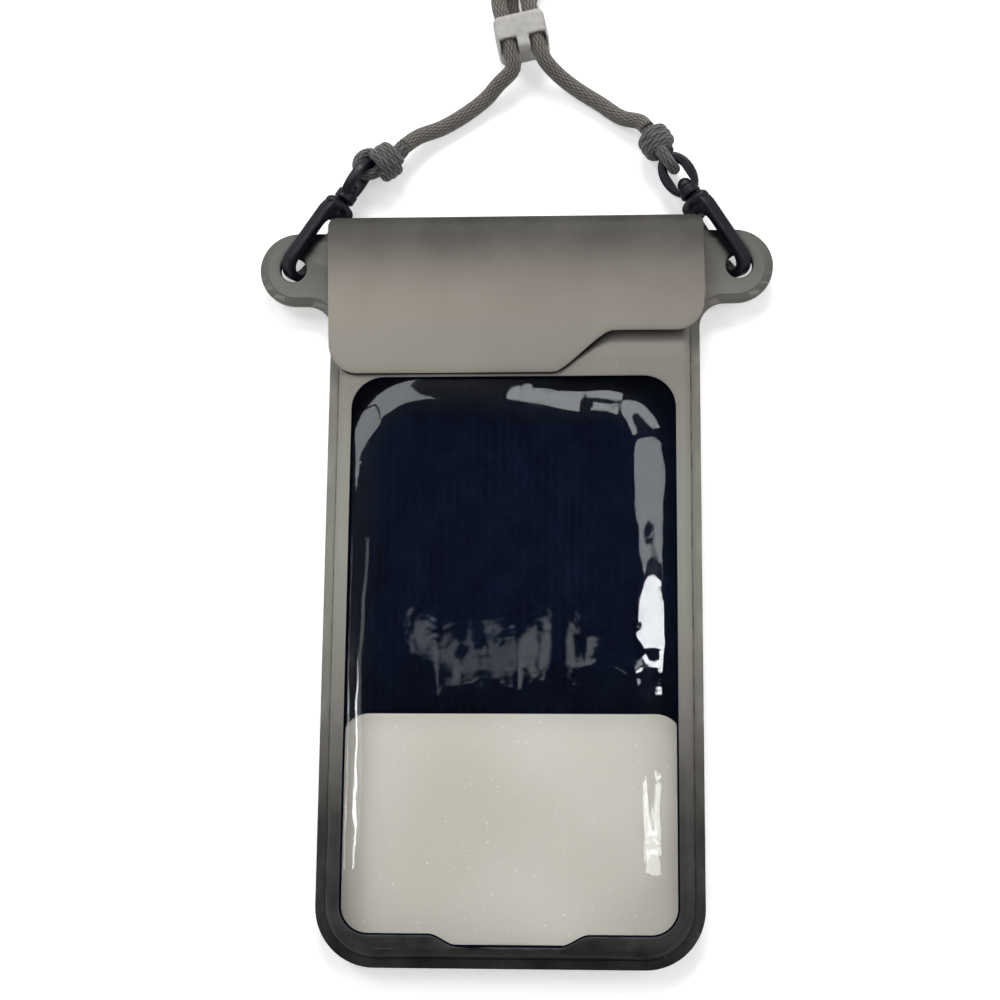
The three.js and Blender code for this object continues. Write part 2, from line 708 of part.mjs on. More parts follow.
function hookMatrix(side, heading, roll) {
  const turn = THREE.MathUtils.degToRad(heading);
  const tilt = THREE.MathUtils.degToRad(roll);
  const along = new THREE.Vector3(-side * Math.sin(turn), Math.cos(turn), 0);
  const outward = new THREE.Vector3(side * Math.cos(turn), Math.sin(turn), 0);
  const high = outward.clone().multiplyScalar(Math.sin(tilt)).add(new THREE.Vector3(0, 0, Math.cos(tilt)));
  const thick = along.clone().cross(high);
  const matrix = new THREE.Matrix4().makeBasis(along, high, thick);
  return matrix.setPosition(side * earHoleX, earCentreY, hookAxisHeight);
}

const sides = [
  ['left', -1, leftHeading, leftRingTurn],
  ['right', 1, rightHeading, rightRingTurn],
];
for (const [label, side, heading, ringTurn] of sides) {
  const placed = hookMatrix(side, heading, hookRoll);
  const turned = hookMatrix(side, heading, 90 - ringTurn);
  addPart(`${label}_hook_body`, hookBody(), navyPlastic, placed);
  addPart(`${label}_hook_gate`, hookGate(), navyPlastic, placed);
  addPart(`${label}_swivel_ring`, swivelRing(), navyPlastic, turned);
  addPart(`${label}_knot`, side < 0 ? sideKnot() : knot(), cordFabric, turned);
}

// Cord stopper: a rounded block with two open bores and two blind ones from above
const stopperSpin = THREE.MathUtils.degToRad(stopperTurn);

function atStopper(across, along, height) {
  const x = stopperCentre[0] + across * Math.cos(stopperSpin) - along * Math.sin(stopperSpin);
  const y = stopperCentre[1] + across * Math.sin(stopperSpin) + along * Math.cos(stopperSpin);
  return [x, y, height];
}

const stopperOutline = roundedOutline(
  stopperWidth / 2,
  -stopperLength / 2,
  stopperLength / 2,
  stopperCorner,
  stopperCorner,
);
const stopperGeometry = new THREE.ExtrudeGeometry(stopperOutline, {
  depth: stopperHeight - 2 * stopperCorner * 0.5,
  bevelEnabled: true,
  bevelThickness: stopperCorner * 0.5,
  bevelSize: stopperCorner * 0.5,
  bevelOffset: -stopperCorner * 0.5,
  bevelSegments: 3,
  curveSegments: 5,
});
stopperGeometry.translate(0, 0, stopperCorner * 0.5);
let stopper = solid(stopperGeometry);

function boreAlong(across, height, from, to) {
  const bore = new THREE.CylinderGeometry(stopperBore, stopperBore, to - from, 18);
  bore.translate(across, (from + to) / 2, height);
  return solid(bore);
}

for (const side of [-1, 1]) {
  const across = side * upStrandOffset;
  stopper = stopper.subtract(boreAlong(across, upperStrand, -stopperLength, stopperLength));
  stopper = stopper.subtract(
    box(across - stopperBore, across + stopperBore, -stopperLength, channelStart, upperStrand, stopperHeight + 1),
  );
}
for (const offset of returnStrandOffsets) {
  stopper = stopper.subtract(boreAlong(offset, lowerStrand, stopperLength / 2 - blindDepth, stopperLength));
}
const stopperMatrix = new THREE.Matrix4().makeRotationZ(stopperSpin).setPosition(...stopperCentre, 0);
addPart('cord_stopper', stopper, frostedPlastic, stopperMatrix);

// Cord stretches: knot to stopper, through it and up to the coil, and the returning strands
function atHook(side, heading, along, outward, height) {
  const turn = THREE.MathUtils.degToRad(heading);
  const x = side * (earHoleX - along * Math.sin(turn) + outward * Math.cos(turn));
  return [x, earCentreY + along * Math.cos(turn) + outward * Math.sin(turn), height];
}

const cordRadius = cordDiameter / 2;
const cordStart = knotAlong + knotWrapPitch + knotWrapTube + gap + 0.2;
const sideCordAlong = sideTailEnd + gap + 0.2;
const halfStopper = stopperLength / 2;
const floorLine = cordRadius + strandLift;
const coilReach = coilOuterRadius + gap;
const coilFoot = coilCentre[1] - Math.sqrt(coilReach ** 2 - 10 ** 2) - cordRadius;
const leftCord = [
  atHook(-1, leftHeading, sideCordAlong, -sideTailThick, hookAxisHeight),
  atHook(-1, leftHeading, sideCordAlong + 1.8, -sideTailThick, hookAxisHeight),
  [-29.3, 249.6, 4],
  [-23.4, 251.9, floorLine + 0.1],
  [-14.6, 256.9, floorLine + 0.1],
  [-9.3, 261.1, 3.1],
  [-5.9, 264.4, 5],
  atStopper(-upStrandOffset - 0.3, -halfStopper - 4, 7.7),
  atStopper(-upStrandOffset, -halfStopper, upperStrand - 0.1),
  atStopper(-upStrandOffset, halfStopper, upperStrand - 0.1),
  atStopper(-upStrandOffset, halfStopper + 6, upperStrand - 1),
  [-4.6, coilFoot, 7.6],
];
const rightCord = [
  atHook(1, rightHeading, cordStart, 0, hookAxisHeight),
  atHook(1, rightHeading, cordStart + 3.5, -0.4, 4.3),
  [32, 254.3, 2.7],
  [25.4, 259, floorLine],
  [18.6, 263.5, 2.8],
  [13, 267.4, 4.8],
  atStopper(upStrandOffset + 0.6, -halfStopper - 3.8, 8),
  atStopper(upStrandOffset, -halfStopper, upperStrand - 0.1),
  atStopper(upStrandOffset, halfStopper, upperStrand - 0.1),
  atStopper(upStrandOffset, halfStopper + 6, upperStrand - 1),
  [4.6, coilFoot, 7.6],
];
addPart('left_cord', tube(leftCord, cordRadius, 10, 18), cordFabric);
addPart('right_cord', tube(rightCord, cordRadius, 10, 18), cordFabric);
const returnEnds = [[-0.9, coilFoot, floorLine], [4.9, coilFoot, floorLine]];
for (const [index, label] of ['left', 'right'].entries()) {
  const offset = returnStrandOffsets[index];
  const strand = [
    atStopper(offset, halfStopper - blindDepth + gap, lowerStrand),
    atStopper(offset, halfStopper, lowerStrand),
    atStopper(offset, halfStopper + 6, lowerStrand - 0.6),
    returnEnds[index],
  ];
  addPart(`${label}_cord_return`, tube(strand, cordRadius, 10, 5), cordFabric);
}

// The rest of both cords, coiled flat on the surface beyond the stopper
const coilRound = 2;
const coilProfile = [
  [coilInnerRadius + coilRound, 0],
  [coilOuterRadius - coilRound, 0],
  [coilOuterRadius, coilRound],
  [coilOuterRadius, coilHeight - coilRound],
  [coilOuterRadius - coilRound, coilHeight],
  [coilInnerRadius + coilRound, coilHeight],
  [coilInnerRadius, coilHeight - coilRound],
  [coilInnerRadius, coilRound],
  [coilInnerRadius + coilRound, 0],
];
const coil = new THREE.LatheGeometry(coilProfile.map(([radius, height]) => new THREE.Vector2(radius, height)), 40);
coil.rotateX(Math.PI / 2);
coil.translate(coilCentre[0], coilCentre[1], 0);
addPart('neck_loop_coil', solid(coil), cordFabric);

// The origin lies under the middle of the pouch with its hooks and rings
const cordNodes = /cord|knot|coil/;
const bounds = new THREE.Box3();
for (const part of group.children) {
  if (!cordNodes.test(part.name)) {
    bounds.expandByObject(part);
  }
}
const middle = bounds.getCenter(new THREE.Vector3());
for (const part of group.children) {
  part.geometry.translate(-middle.x, -middle.y, -bounds.min.z);
}

export default group;
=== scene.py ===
import math

import bpy
import bmesh
from mathutils import Euler, Matrix, Vector, noise


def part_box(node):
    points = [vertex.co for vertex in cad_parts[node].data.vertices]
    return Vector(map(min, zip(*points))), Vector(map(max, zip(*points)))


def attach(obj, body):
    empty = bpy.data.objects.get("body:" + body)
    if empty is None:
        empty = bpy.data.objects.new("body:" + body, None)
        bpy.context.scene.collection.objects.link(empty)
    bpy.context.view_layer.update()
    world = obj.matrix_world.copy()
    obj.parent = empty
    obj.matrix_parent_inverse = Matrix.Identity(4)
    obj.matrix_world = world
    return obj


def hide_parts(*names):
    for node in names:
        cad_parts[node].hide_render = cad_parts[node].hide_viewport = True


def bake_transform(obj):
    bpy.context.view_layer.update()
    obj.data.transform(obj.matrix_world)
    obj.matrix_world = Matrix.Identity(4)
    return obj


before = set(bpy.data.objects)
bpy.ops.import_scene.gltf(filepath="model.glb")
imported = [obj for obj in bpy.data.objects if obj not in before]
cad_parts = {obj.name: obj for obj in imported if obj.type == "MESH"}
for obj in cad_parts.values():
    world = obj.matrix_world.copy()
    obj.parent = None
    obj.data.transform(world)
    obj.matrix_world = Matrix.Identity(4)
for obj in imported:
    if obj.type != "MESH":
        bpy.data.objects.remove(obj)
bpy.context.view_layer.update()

# The view: the pouch lies on its back and the camera looks down at it from above the lower end,
# a little to the right, so the long sides lean in slightly toward the bottom.
MM = 0.001
BOTTOM_EDGE_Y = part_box("back_panel")[0][1]


def at(x, y, z):
    """A place in millimetres, with y measured up from the pouch's bottom edge, as a point in the frame."""
    return Vector((x * MM, y * MM + BOTTOM_EDGE_Y, z * MM))


CAMERA_PLACE = (33.183, 5.773, 600.0)
CAMERA_AIM = (-3.861, 134.324, 5.0)
CAMERA_ROLL = 0.010
sight = (at(*CAMERA_AIM) - at(*CAMERA_PLACE)).normalized()
level = sight.cross(Vector((0, 1, 0))).normalized()
rise = level.cross(sight)
camera_right = math.cos(CAMERA_ROLL) * level + math.sin(CAMERA_ROLL) * rise
camera_up = -math.sin(CAMERA_ROLL) * level + math.cos(CAMERA_ROLL) * rise
camera_data = bpy.data.cameras.new("camera")
camera_data.sensor_width = 36
camera_data.lens = 74.80
camera_data.clip_start = 0.01
camera = bpy.data.objects.new("camera", camera_data)
camera.matrix_world = Matrix(
    [
        (camera_right[i], camera_up[i], -sight[i], at(*CAMERA_PLACE)[i])
        for i in range(3)
    ]
    + [(0, 0, 0, 1)]
)
bpy.context.collection.objects.link(camera)
bpy.context.scene.camera = camera
bpy.context.scene.view_settings.view_transform = "Standard"

# Light and floor: a pale room with a dimmer ceiling, a soft window beyond the fold, a fill from the
# left and a narrow window at the right that puts the bright upright streak on the clear film.


def set_inputs(tree, node, values):
    """Sets a node's inputs, each to a plain value, a colour or what another node gives."""
    for label, value in values.items():
        if isinstance(value, bpy.types.NodeSocket):
            tree.links.new(value, node.inputs[label])
        else:
            node.inputs[label].default_value = value


def surface_place(tree, kind="Object"):
    """The place on the surface that a texture starts from."""
    return tree.nodes.new("ShaderNodeTexCoord").outputs[kind]


def axis_of(tree, place, axis):
    """One coordinate of a place: 0 across, 1 along, 2 up."""
    axes = tree.nodes.new("ShaderNodeSeparateXYZ")
    tree.links.new(place, axes.inputs[0])
    return axes.outputs[axis]


def spread(tree, value, low, high, to_low=0.0, to_high=1.0):
    """Maps a value from one range to another, clamped."""
    node = tree.nodes.new("ShaderNodeMapRange")
    limits = {"From Min": low, "From Max": high, "To Min": to_low, "To Max": to_high}
    set_inputs(tree, node, {"Value": value, **limits})
    return node.outputs["Result"]


world = bpy.data.worlds.new("pale_room")
world.use_nodes = True
room = world.node_tree
upward = axis_of(room, surface_place(room, "Generated"), 2)
ceiling = spread(room, upward, 0.60, 0.95, 0.74, 0.06)
set_inputs(room, room.nodes["Background"], {"Strength": ceiling, "Color": (0.97, 0.985, 1.0, 1)})
bpy.context.scene.world = world


def window_light(name, place, size, watts, colour, turn=0.0, only_seen_in_gloss=False):
    """A rectangular window that faces the pouch, turned about its own middle by so many degrees."""
    data = bpy.data.lights.new(name, "AREA")
    data.shape = "RECTANGLE"
    data.size, data.size_y = size
    data.energy = watts
    data.color = colour
    light = bpy.data.objects.new(name, data)
    light.location = place
    facing = (-Vector(place)).to_track_quat("-Z", "Y")
    light.rotation_euler = (facing @ Euler((0, 0, math.radians(turn))).to_quaternion()).to_euler()
    light.visible_diffuse = not only_seen_in_gloss
    bpy.context.collection.objects.link(light)


COOL = (0.95, 0.98, 1.0)
window_light("window_beyond_fold", (0.02, 1.15, 0.95), (0.60, 0.40), 11.0, (1.0, 0.985, 0.96))
window_light("fill_left", (-0.74, 0.58, 0.95), (0.44, 0.62), 4.9, COOL, turn=-18)
window_light("fill_right", (1.15, 0.10, 0.90), (0.50, 0.60), 3.4, (1.0, 0.985, 0.96))
for name, place, size, brightness, turn in (
    ("window_left_far", (-0.39, 0.78, 1.0), (0.34, 0.44), 5.5, 0),
    ("door_beyond_right", (0.06, 0.655, 1.0), (0.17, 0.09), 8, -8),
    ("door_corner", (0.26, 0.55, 1.0), (0.32, 0.10), 7.5, -45),
    ("door_right_side", (0.41, 0.31, 1.0), (0.11, 0.28), 6.5, 4),
    ("narrow_window_right", (0.385, 0.14, 1.0), (0.06, 0.12), 50, 4),
    ("window_near_upper", (0.40, -0.01, 1.0), (0.06, 0.06), 14, 16),
    ("window_near_lower", (0.43, -0.065, 1.0), (0.09, 0.06), 11, -14),
    ("lamp_left_near", (-0.52, 0.09, 1.0), (0.24, 0.035), 2.2, 10),
    ("shiny_frame_left", (-0.56, 0.045, 1.0), (0.16, 0.014), 26, 4),
    ("shiny_frame_left_low", (-0.56, 0.012, 1.0), (0.16, 0.02), 26, 4),
    ("ceiling_window_left", (-0.118, 0.108, 1.0), (0.030, 0.036), 2.0, 4),
    ("ceiling_window_middle", (-0.078, 0.112, 1.0), (0.034, 0.026), 1.6, 4),
    ("ceiling_window_right", (-0.036, 0.108, 1.0), (0.030, 0.040), 2.4, 4),
):
    window_light(name, place, size, brightness * math.pi * size[0] * size[1], COOL, turn, True)

floor_mesh = bpy.data.meshes.new("floor")
FLOOR_HALF = 4.0
FLOOR_DROP = 0.0002
floor_mesh.from_pydata(
    [(sx * FLOOR_HALF, sy * FLOOR_HALF, -FLOOR_DROP) for sx, sy in ((-1, -1), (1, -1), (1, 1), (-1, 1))],
    [],
    [(0, 1, 2, 3)],
)
floor = bpy.data.objects.new("floor", floor_mesh)
bpy.context.collection.objects.link(floor)


def new_material(name):
    """A new material, with its node tree and its surface."""
    material = bpy.data.materials.new(name)
    material.use_nodes = True
    return material, material.node_tree, material.node_tree.nodes["Principled BSDF"]


def math_node(tree, operation, *terms):
    """One arithmetic step in a node tree; each term is a socket or a number."""
    node = tree.nodes.new("ShaderNodeMath")
    node.operation = operation
    set_inputs(tree, node, dict(enumerate(terms)))
    return node.outputs[0]


paper, paper_tree, paper_look = new_material("white_paper")
seen_by = paper_tree.nodes.new("ShaderNodeLightPath")
any_view = math_node(
    paper_tree, "MAXIMUM", seen_by.outputs["Is Camera Ray"], seen_by.outputs["Is Transmission Ray"]
)
set_inputs(
    paper_tree,
    paper_look,
    {
        "Base Color": (0.90, 0.90, 0.90, 1),
        "Roughness": 0.9,
        "Specular IOR Level": 0.1,
        "Emission Color": (1, 1, 1, 1),
        "Emission Strength": math_node(paper_tree, "MULTIPLY", any_view, 0.42),
    },
)
floor_mesh.materials.append(paper)

# Neck cords: two round braided polyester cords. Each is knotted to its ring, runs up through the
# stopper's open channel, round the wearer's neck and back into a blind hole in the stopper.
# The neck loop lies wound in two layers, just past the top of the picture.
CORD_WIDTH = 4.8
EAR_HOLE_X = 66.9
EAR_CENTRE_Y = 205.4
HOOK_AXIS_Z = 5.4
HEADING = {-1: math.radians(33), 1: math.radians(31.5)}
CORD_START = 51.5
SIDE_CORD_START = (50.9, -6.0)


def at_hook(side, along, outward, height):
    """A place measured along a hook from its ear hole toward the cord, in millimetres."""
    turn = HEADING[side]
    x = side * (EAR_HOLE_X - along * math.sin(turn) + outward * math.cos(turn))
    y = EAR_CENTRE_Y + along * math.cos(turn) + outward * math.sin(turn)
    return (x, y, height)


STOPPER_CENTRE = (1.5, 279.6)
STOPPER_TURN = math.radians(13)
UPPER_STRAND = 8.9
LOWER_STRAND = 3.4


def at_stopper(across, along, height):
    """A place measured across and along the stopper from its middle, in millimetres."""
    x = STOPPER_CENTRE[0] + across * math.cos(STOPPER_TURN) - along * math.sin(STOPPER_TURN)
    y = STOPPER_CENTRE[1] + across * math.sin(STOPPER_TURN) + along * math.cos(STOPPER_TURN)
    return (x, y, height)


def through(points, spacing):
    """A centripetal curve through the points, cut into even steps; gives the places in order."""
    stations = [Vector(p) for p in points]
    stations.insert(0, 2 * stations[0] - stations[1])
    stations.append(2 * stations[-1] - stations[-2])
    dense = []
    for i in range(1, len(stations) - 2):
        a, b, c, d = stations[i - 1:i + 3]
        t0 = 0.0
        t1 = t0 + (b - a).length ** 0.5
        t2 = t1 + (c - b).length ** 0.5
        t3 = t2 + (d - c).length ** 0.5
        pieces = max(4, int((c - b).length / 0.4))
        for k in range(pieces):
            t = t1 + (t2 - t1) * k / pieces
            ab = a.lerp(b, (t - t0) / (t1 - t0))
            bc = b.lerp(c, (t - t1) / (t2 - t1))
            cd = c.lerp(d, (t - t2) / (t3 - t2))
            abc = ab.lerp(bc, (t - t0) / (t2 - t0))
            bcd = bc.lerp(cd, (t - t1) / (t3 - t1))
            dense.append(abc.lerp(bcd, (t - t1) / (t2 - t1)))
    dense.append(stations[-2].copy())
    lengths = [0.0]
    for i in range(1, len(dense)):
        lengths.append(lengths[-1] + (dense[i] - dense[i - 1]).length)
    count = max(2, round(lengths[-1] / spacing))
    places = []
    j = 0
    for k in range(count + 1):
        wanted = lengths[-1] * k / count
        while j < len(dense) - 2 and lengths[j + 1] < wanted:
            j += 1
        share = (wanted - lengths[j]) / max(lengths[j + 1] - lengths[j], 1e-9)
        places.append(dense[j].lerp(dense[j + 1], share))
    return places


def tube_into(bm, uv_layer, centres, radius):
    """Adds a round tube to the mesh; UV runs once round the cord and, in millimetres, along it."""
    around = 16
    tangents = []
    for i in range(len(centres)):
        before = centres[max(i - 1, 0)]
        after = centres[min(i + 1, len(centres) - 1)]
        tangents.append((after - before).normalized())
    side = tangents[0].cross(Vector((0, 0, 1)))
    if side.length < 0.1:
        side = tangents[0].cross(Vector((1, 0, 0)))
    side.normalize()
    rings = []
    run = 0.0
    runs = []
    for i, centre in enumerate(centres):
        side = (side - side.dot(tangents[i]) * tangents[i]).normalized()
        up = side.cross(tangents[i]).normalized()
        size = radius(i / (len(centres) - 1)) if callable(radius) else radius
        ring = []
        for k in range(around):
            angle = 2 * math.pi * k / around
            offset = side * math.cos(angle) * size + up * math.sin(angle) * size
            ring.append(bm.verts.new(at(*(centre + offset))))
        if i:
            run += (centre - centres[i - 1]).length
        runs.append(run)
        rings.append(ring)
    for i in range(len(rings) - 1):
        for k in range(around):
            n = (k + 1) % around
            face = bm.faces.new((rings[i][k], rings[i][n], rings[i + 1][n], rings[i + 1][k]))
            face.smooth = True
            ends = (
                (k / around, runs[i]),
                ((k + 1) / around, runs[i]),
                ((k + 1) / around, runs[i + 1]),
                (k / around, runs[i + 1]),
            )
            for loop, place in zip(face.loops, ends):
                loop[uv_layer].uv = place
    for ring in (rings[0], list(reversed(rings[-1]))):
        face = bm.faces.new(list(reversed(ring)))
        for loop in face.loops:
            loop[uv_layer].uv = (0.0, 0.0)


def new_piece(name, bm, materials, body):
    """Turns a finished mesh into a named piece that moves with its body, if it is given one."""
    mesh = bpy.data.meshes.new(name)
    bm.normal_update()
    bm.to_mesh(mesh)
    bm.free()
    for material in materials:
        mesh.materials.append(material)
    piece = bpy.data.objects.new(name, mesh)
    bpy.context.collection.objects.link(piece)
    if body:
        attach(piece, body)
    return piece


def mix_colours(tree, share, first, second):
    """Mixes two colours, each a socket or a colour, by a share that is a socket or a number."""
    node = tree.nodes.new("ShaderNodeMix")
    node.data_type = "RGBA"
    ends = [(*end, 1.0) if isinstance(end, tuple) else end for end in (first, second)]
    set_inputs(tree, node, {0: share, 6: ends[0], 7: ends[1]})
    return node.outputs[2]


def noise_node(tree, place, scale, detail=2.0, roughness=0.5):
    """Three-dimensional noise; gives its value."""
    node = tree.nodes.new("ShaderNodeTexNoise")
    set_inputs(tree, node, {"Scale": scale, "Detail": detail, "Roughness": roughness})
    if place is not None:
        tree.links.new(place, node.inputs["Vector"])
    return node.outputs["Fac"]


def relief(tree, height, strength, depth):
    """Fine relief from a height, so many millimetres deep; gives the surface's direction."""
    bump = tree.nodes.new("ShaderNodeBump")
    set_inputs(tree, bump, {"Strength": strength, "Distance": depth * MM, "Height": height})
    return bump.outputs["Normal"]


def new_group(name, numbers, outputs, takes_place=False):
    """A new shader group with named numbers: gives it, what it is given and its output node."""
    group = bpy.data.node_groups.new(name, "ShaderNodeTree")
    if takes_place:
        group.interface.new_socket("Place", in_out="INPUT", socket_type="NodeSocketVector")
    for label, value in numbers.items():
        socket = group.interface.new_socket(label, in_out="INPUT", socket_type="NodeSocketFloat")
        socket.default_value = value
    for label in outputs:
        group.interface.new_socket(label, in_out="OUTPUT", socket_type="NodeSocketFloat")
    return group, group.nodes.new("NodeGroupInput").outputs, group.nodes.new("NodeGroupOutput")


def use_group(tree, group, values):
    """Places a shader group in a material with its own values; gives the group's outputs."""
    node = tree.nodes.new("ShaderNodeGroup")
    node.node_tree = group
    set_inputs(tree, node, values)
    return node.outputs


braid, given, outlet = new_group(
    "braided_cord",
    {"Strands round": 8.0, "Strand length": 3.4, "Fuzz": 0.25},
    ("Height", "Shade", "Fuzz mask"),
    takes_place=True,
)


def weave(operation, *terms):
    """One arithmetic step in the braid's group."""
    return math_node(braid, operation, *terms)


round_share = weave("MULTIPLY", axis_of(braid, given["Place"], 0), given["Strands round"])
along_share = weave("DIVIDE", axis_of(braid, given["Place"], 1), given["Strand length"])
lays = [weave("ADD", round_share, along_share), weave("SUBTRACT", round_share, along_share)]
lifted = [weave("ADD", lay, 1000.0) for lay in lays]
crowns = [weave("SINE", weave("MULTIPLY", weave("FRACT", lay), math.pi)) for lay in lifted]
cell = weave("ADD", weave("FLOOR", lifted[0]), weave("FLOOR", lifted[1]))
over = weave("GREATER_THAN", weave("MODULO", weave("ADD", cell, 4000.0), 2.0), 0.5)
under = weave("SUBTRACT", 1.0, over)
left_part = weave("MULTIPLY", crowns[0], weave("MULTIPLY_ADD", crowns[1], 0.45, 0.55))
right_part = weave("MULTIPLY", crowns[1], weave("MULTIPLY_ADD", crowns[0], 0.45, 0.55))
strand_height = weave("ADD", weave("MULTIPLY", left_part, over), weave("MULTIPLY", right_part, under))
fuzz = noise_node(braid, surface_place(braid), 3800.0, 3.0, 0.7)
top_lay = weave("ADD", weave("MULTIPLY", lays[0], over), weave("MULTIPLY", lays[1], under))
yarn = weave("MULTIPLY_ADD", weave("SINE", weave("MULTIPLY", top_lay, 8 * math.pi)), 0.07, strand_height)
height = weave("ADD", yarn, weave("MULTIPLY", weave("SUBTRACT", fuzz, 0.5), given["Fuzz"]))
set_inputs(braid, outlet, {"Height": height, "Shade": strand_height, "Fuzz mask": fuzz})


def cord_material(name, dark, light, strands, strand_length):
    """Braided polyester: grooves painted darker than crowns as shade, a faint dusty fuzz and a cloth sheen.
    """
    material, tree, look = new_material(name)
    values = {"Place": surface_place(tree, "UV"), "Strands round": strands, "Strand length": strand_length}
    plait = use_group(tree, braid, values)
    colour = mix_colours(tree, spread(tree, plait["Shade"], 0.15, 0.85), dark, light)
    patches = spread(tree, noise_node(tree, None, 90.0, 3.0), 0.35, 0.7, 0.0, 0.35)
    colour = mix_colours(tree, patches, colour, tuple(0.6 * c for c in light))
    lint = spread(tree, plait["Fuzz mask"], 0.60, 0.78, 0.0, 0.4)
    colour = mix_colours(tree, lint, colour, tuple(min(1.0, 1.9 * c) for c in light))
    values = {
        "Base Color": colour,
        "Roughness": 0.82,
        "Specular IOR Level": 0.25,
        "Sheen Weight": 0.25,
        "Sheen Roughness": 0.5,
        "Normal": relief(tree, plait["Height"], 0.9, 0.30),
    }
    set_inputs(tree, look, values)
    return material


cord_cloth = cord_material("grey_braided_cord", (0.017, 0.015, 0.014), (0.200, 0.186, 0.160), 14, 3.1)

COIL_CENTRE = (0.5, 346.0)
TURN_PITCH = 10.1
INNER_TURN = 13.3
INNERMOST_UPPER = 14.5
UPPER_LAYER = 7.5
LOWER_LAYER = 2.5
COIL_STEP = 22.5


def on_coil(angle, radius, height):
    """A place on the coil at an angle in degrees."""
    turn = math.radians(angle)
    return (COIL_CENTRE[0] + radius * math.cos(turn), COIL_CENTRE[1] + radius * math.sin(turn), height)


def coil_turns(start, end, first_radius, growth, height):
    """Points on a flat spiral, sixteen to a turn, from one angle to another in degrees."""
    steps = max(2, round((end - start) / COIL_STEP))
    angles = [start + (end - start) * k / steps for k in range(steps + 1)]
    return [on_coil(angle, first_radius + growth * (angle - start) / 360, height) for angle in angles]


def coil_descent(start):
    """The quarter turn in which a cord steps down from the upper layer to the lower one."""
    steps = []
    for k in range(1, 4):
        radius = INNERMOST_UPPER + (INNER_TURN - INNERMOST_UPPER) * k / 4
        height = UPPER_LAYER - (UPPER_LAYER - LOWER_LAYER) * k / 4
        steps.append(on_coil(start + COIL_STEP * k, radius, height))
    return steps


left_route = [
    at_hook(-1, *SIDE_CORD_START, HOOK_AXIS_Z),
    (-30.0, 248.3, 4.3),
    (-22.6, 251.9, 2.55),
    (-14.6, 256.9, 2.6),
    (-9.3, 261.1, 3.1),
    (-5.9, 264.4, 5.0),
    at_stopper(-4.8, -9.8, 7.7),
    at_stopper(-4.5, -5.8, UPPER_STRAND),
    at_stopper(-4.5, 5.8, UPPER_STRAND),
    at_stopper(-4.5, 11.8, 8.0),
    (-4.6, 302.3, 7.6),
    (-3.7, 306.6, 7.5),
    (-0.8, 309.6, 7.5),
    (4.6, 310.6, 7.5),
]
left_route += coil_turns(-74, 670, 35.4, -TURN_PITCH, UPPER_LAYER)
left_route += coil_descent(670)
left_route += coil_turns(760, 1670, INNER_TURN, TURN_PITCH, LOWER_LAYER)
left_route += [
    (-16.5, 310.6, 2.5),
    (-8.2, 305.4, 2.5),
    (-2.7, 299.8, 2.5),
    at_stopper(-0.9, 11.8, 2.8),
    at_stopper(-0.9, 5.8, LOWER_STRAND),
    at_stopper(-0.9, -0.9, LOWER_STRAND),
]
right_route = [
    at_hook(1, CORD_START, 0, HOOK_AXIS_Z),
    at_hook(1, CORD_START + 3.5, -0.4, 4.3),
    (32.0, 254.3, 2.7),
    (25.4, 259.0, 2.5),
    (18.6, 263.5, 2.8),
    (13.0, 267.4, 4.8),
    at_stopper(5.1, -9.6, 8.0),
    at_stopper(4.5, -5.8, UPPER_STRAND),
    at_stopper(4.5, 5.8, UPPER_STRAND),
    at_stopper(4.5, 11.8, 8.0),
    (4.6, 302.3, 7.6),
    (6.0, 305.9, 7.5),
    (9.2, 308.3, 7.5),
    (14.7, 309.2, 7.5),
]
right_route += coil_turns(-60, 850, 40.0, -TURN_PITCH, UPPER_LAYER)
right_route += coil_descent(850)
right_route += coil_turns(940, 1670, INNER_TURN, TURN_PITCH, LOWER_LAYER)
right_route += [
    (-12.5, 314.6, 2.5),
    (-3.2, 309.2, 2.5),
    (2.8, 303.9, 2.5),
    (4.9, 298.6, 2.5),
    at_stopper(4.7, 11.8, 2.8),
    at_stopper(4.7, 5.8, LOWER_STRAND),
    at_stopper(4.7, -0.9, LOWER_STRAND),
]

RING_SPACING = 1.25
cords = {}
for label, route in (("left", left_route), ("right", right_route)):
    centres = through(route, RING_SPACING)
    bm = bmesh.new()
    uv_layer = bm.loops.layers.uv.new("round_and_along")
    tube_into(bm, uv_layer, centres, CORD_WIDTH / 2)
    cord = new_piece(f"{label}_neck_cord", bm, [cord_cloth], "pouch" if label == "right" else None)
    cords[label] = (cord, centres)
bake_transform(cords["left"][0])
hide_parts("left_cord", "left_cord_return", "neck_loop_coil")
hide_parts("right_cord", "right_cord_return")

# Back panel: one sheet of soft PVC, formed into a shallow tray, with the ears' rear layer, and
# folded over the mouth at the top so that it ends as the stepped flap on the front.
HALF_WIDTH = 55.0
CORNER_RADIUS = 17.0
WELD_WIDTH = 2.5
SHEET = 0.8
SEAM_LOW, SEAM_MIDDLE, SEAM_HIGH = 4.4, 5.2, 6.0
TRAY_TOP = 204.0
FOLD_TOP = 221.0
EAR_CENTRE_X = 65.7
EAR_RADIUS = 11.3
EAR_HOLE_RADIUS = 3.9
EAR_FILLET = 7.5


def arc(centre, radius, start, end, steps):
    """Points on an arc in the plan, from one angle to another in degrees."""
    points = []
    for k in range(steps + 1):
        angle = math.radians(start + (end - start) * k / steps)
        points.append((centre[0] + radius * math.cos(angle), centre[1] + radius * math.sin(angle)))
    return points


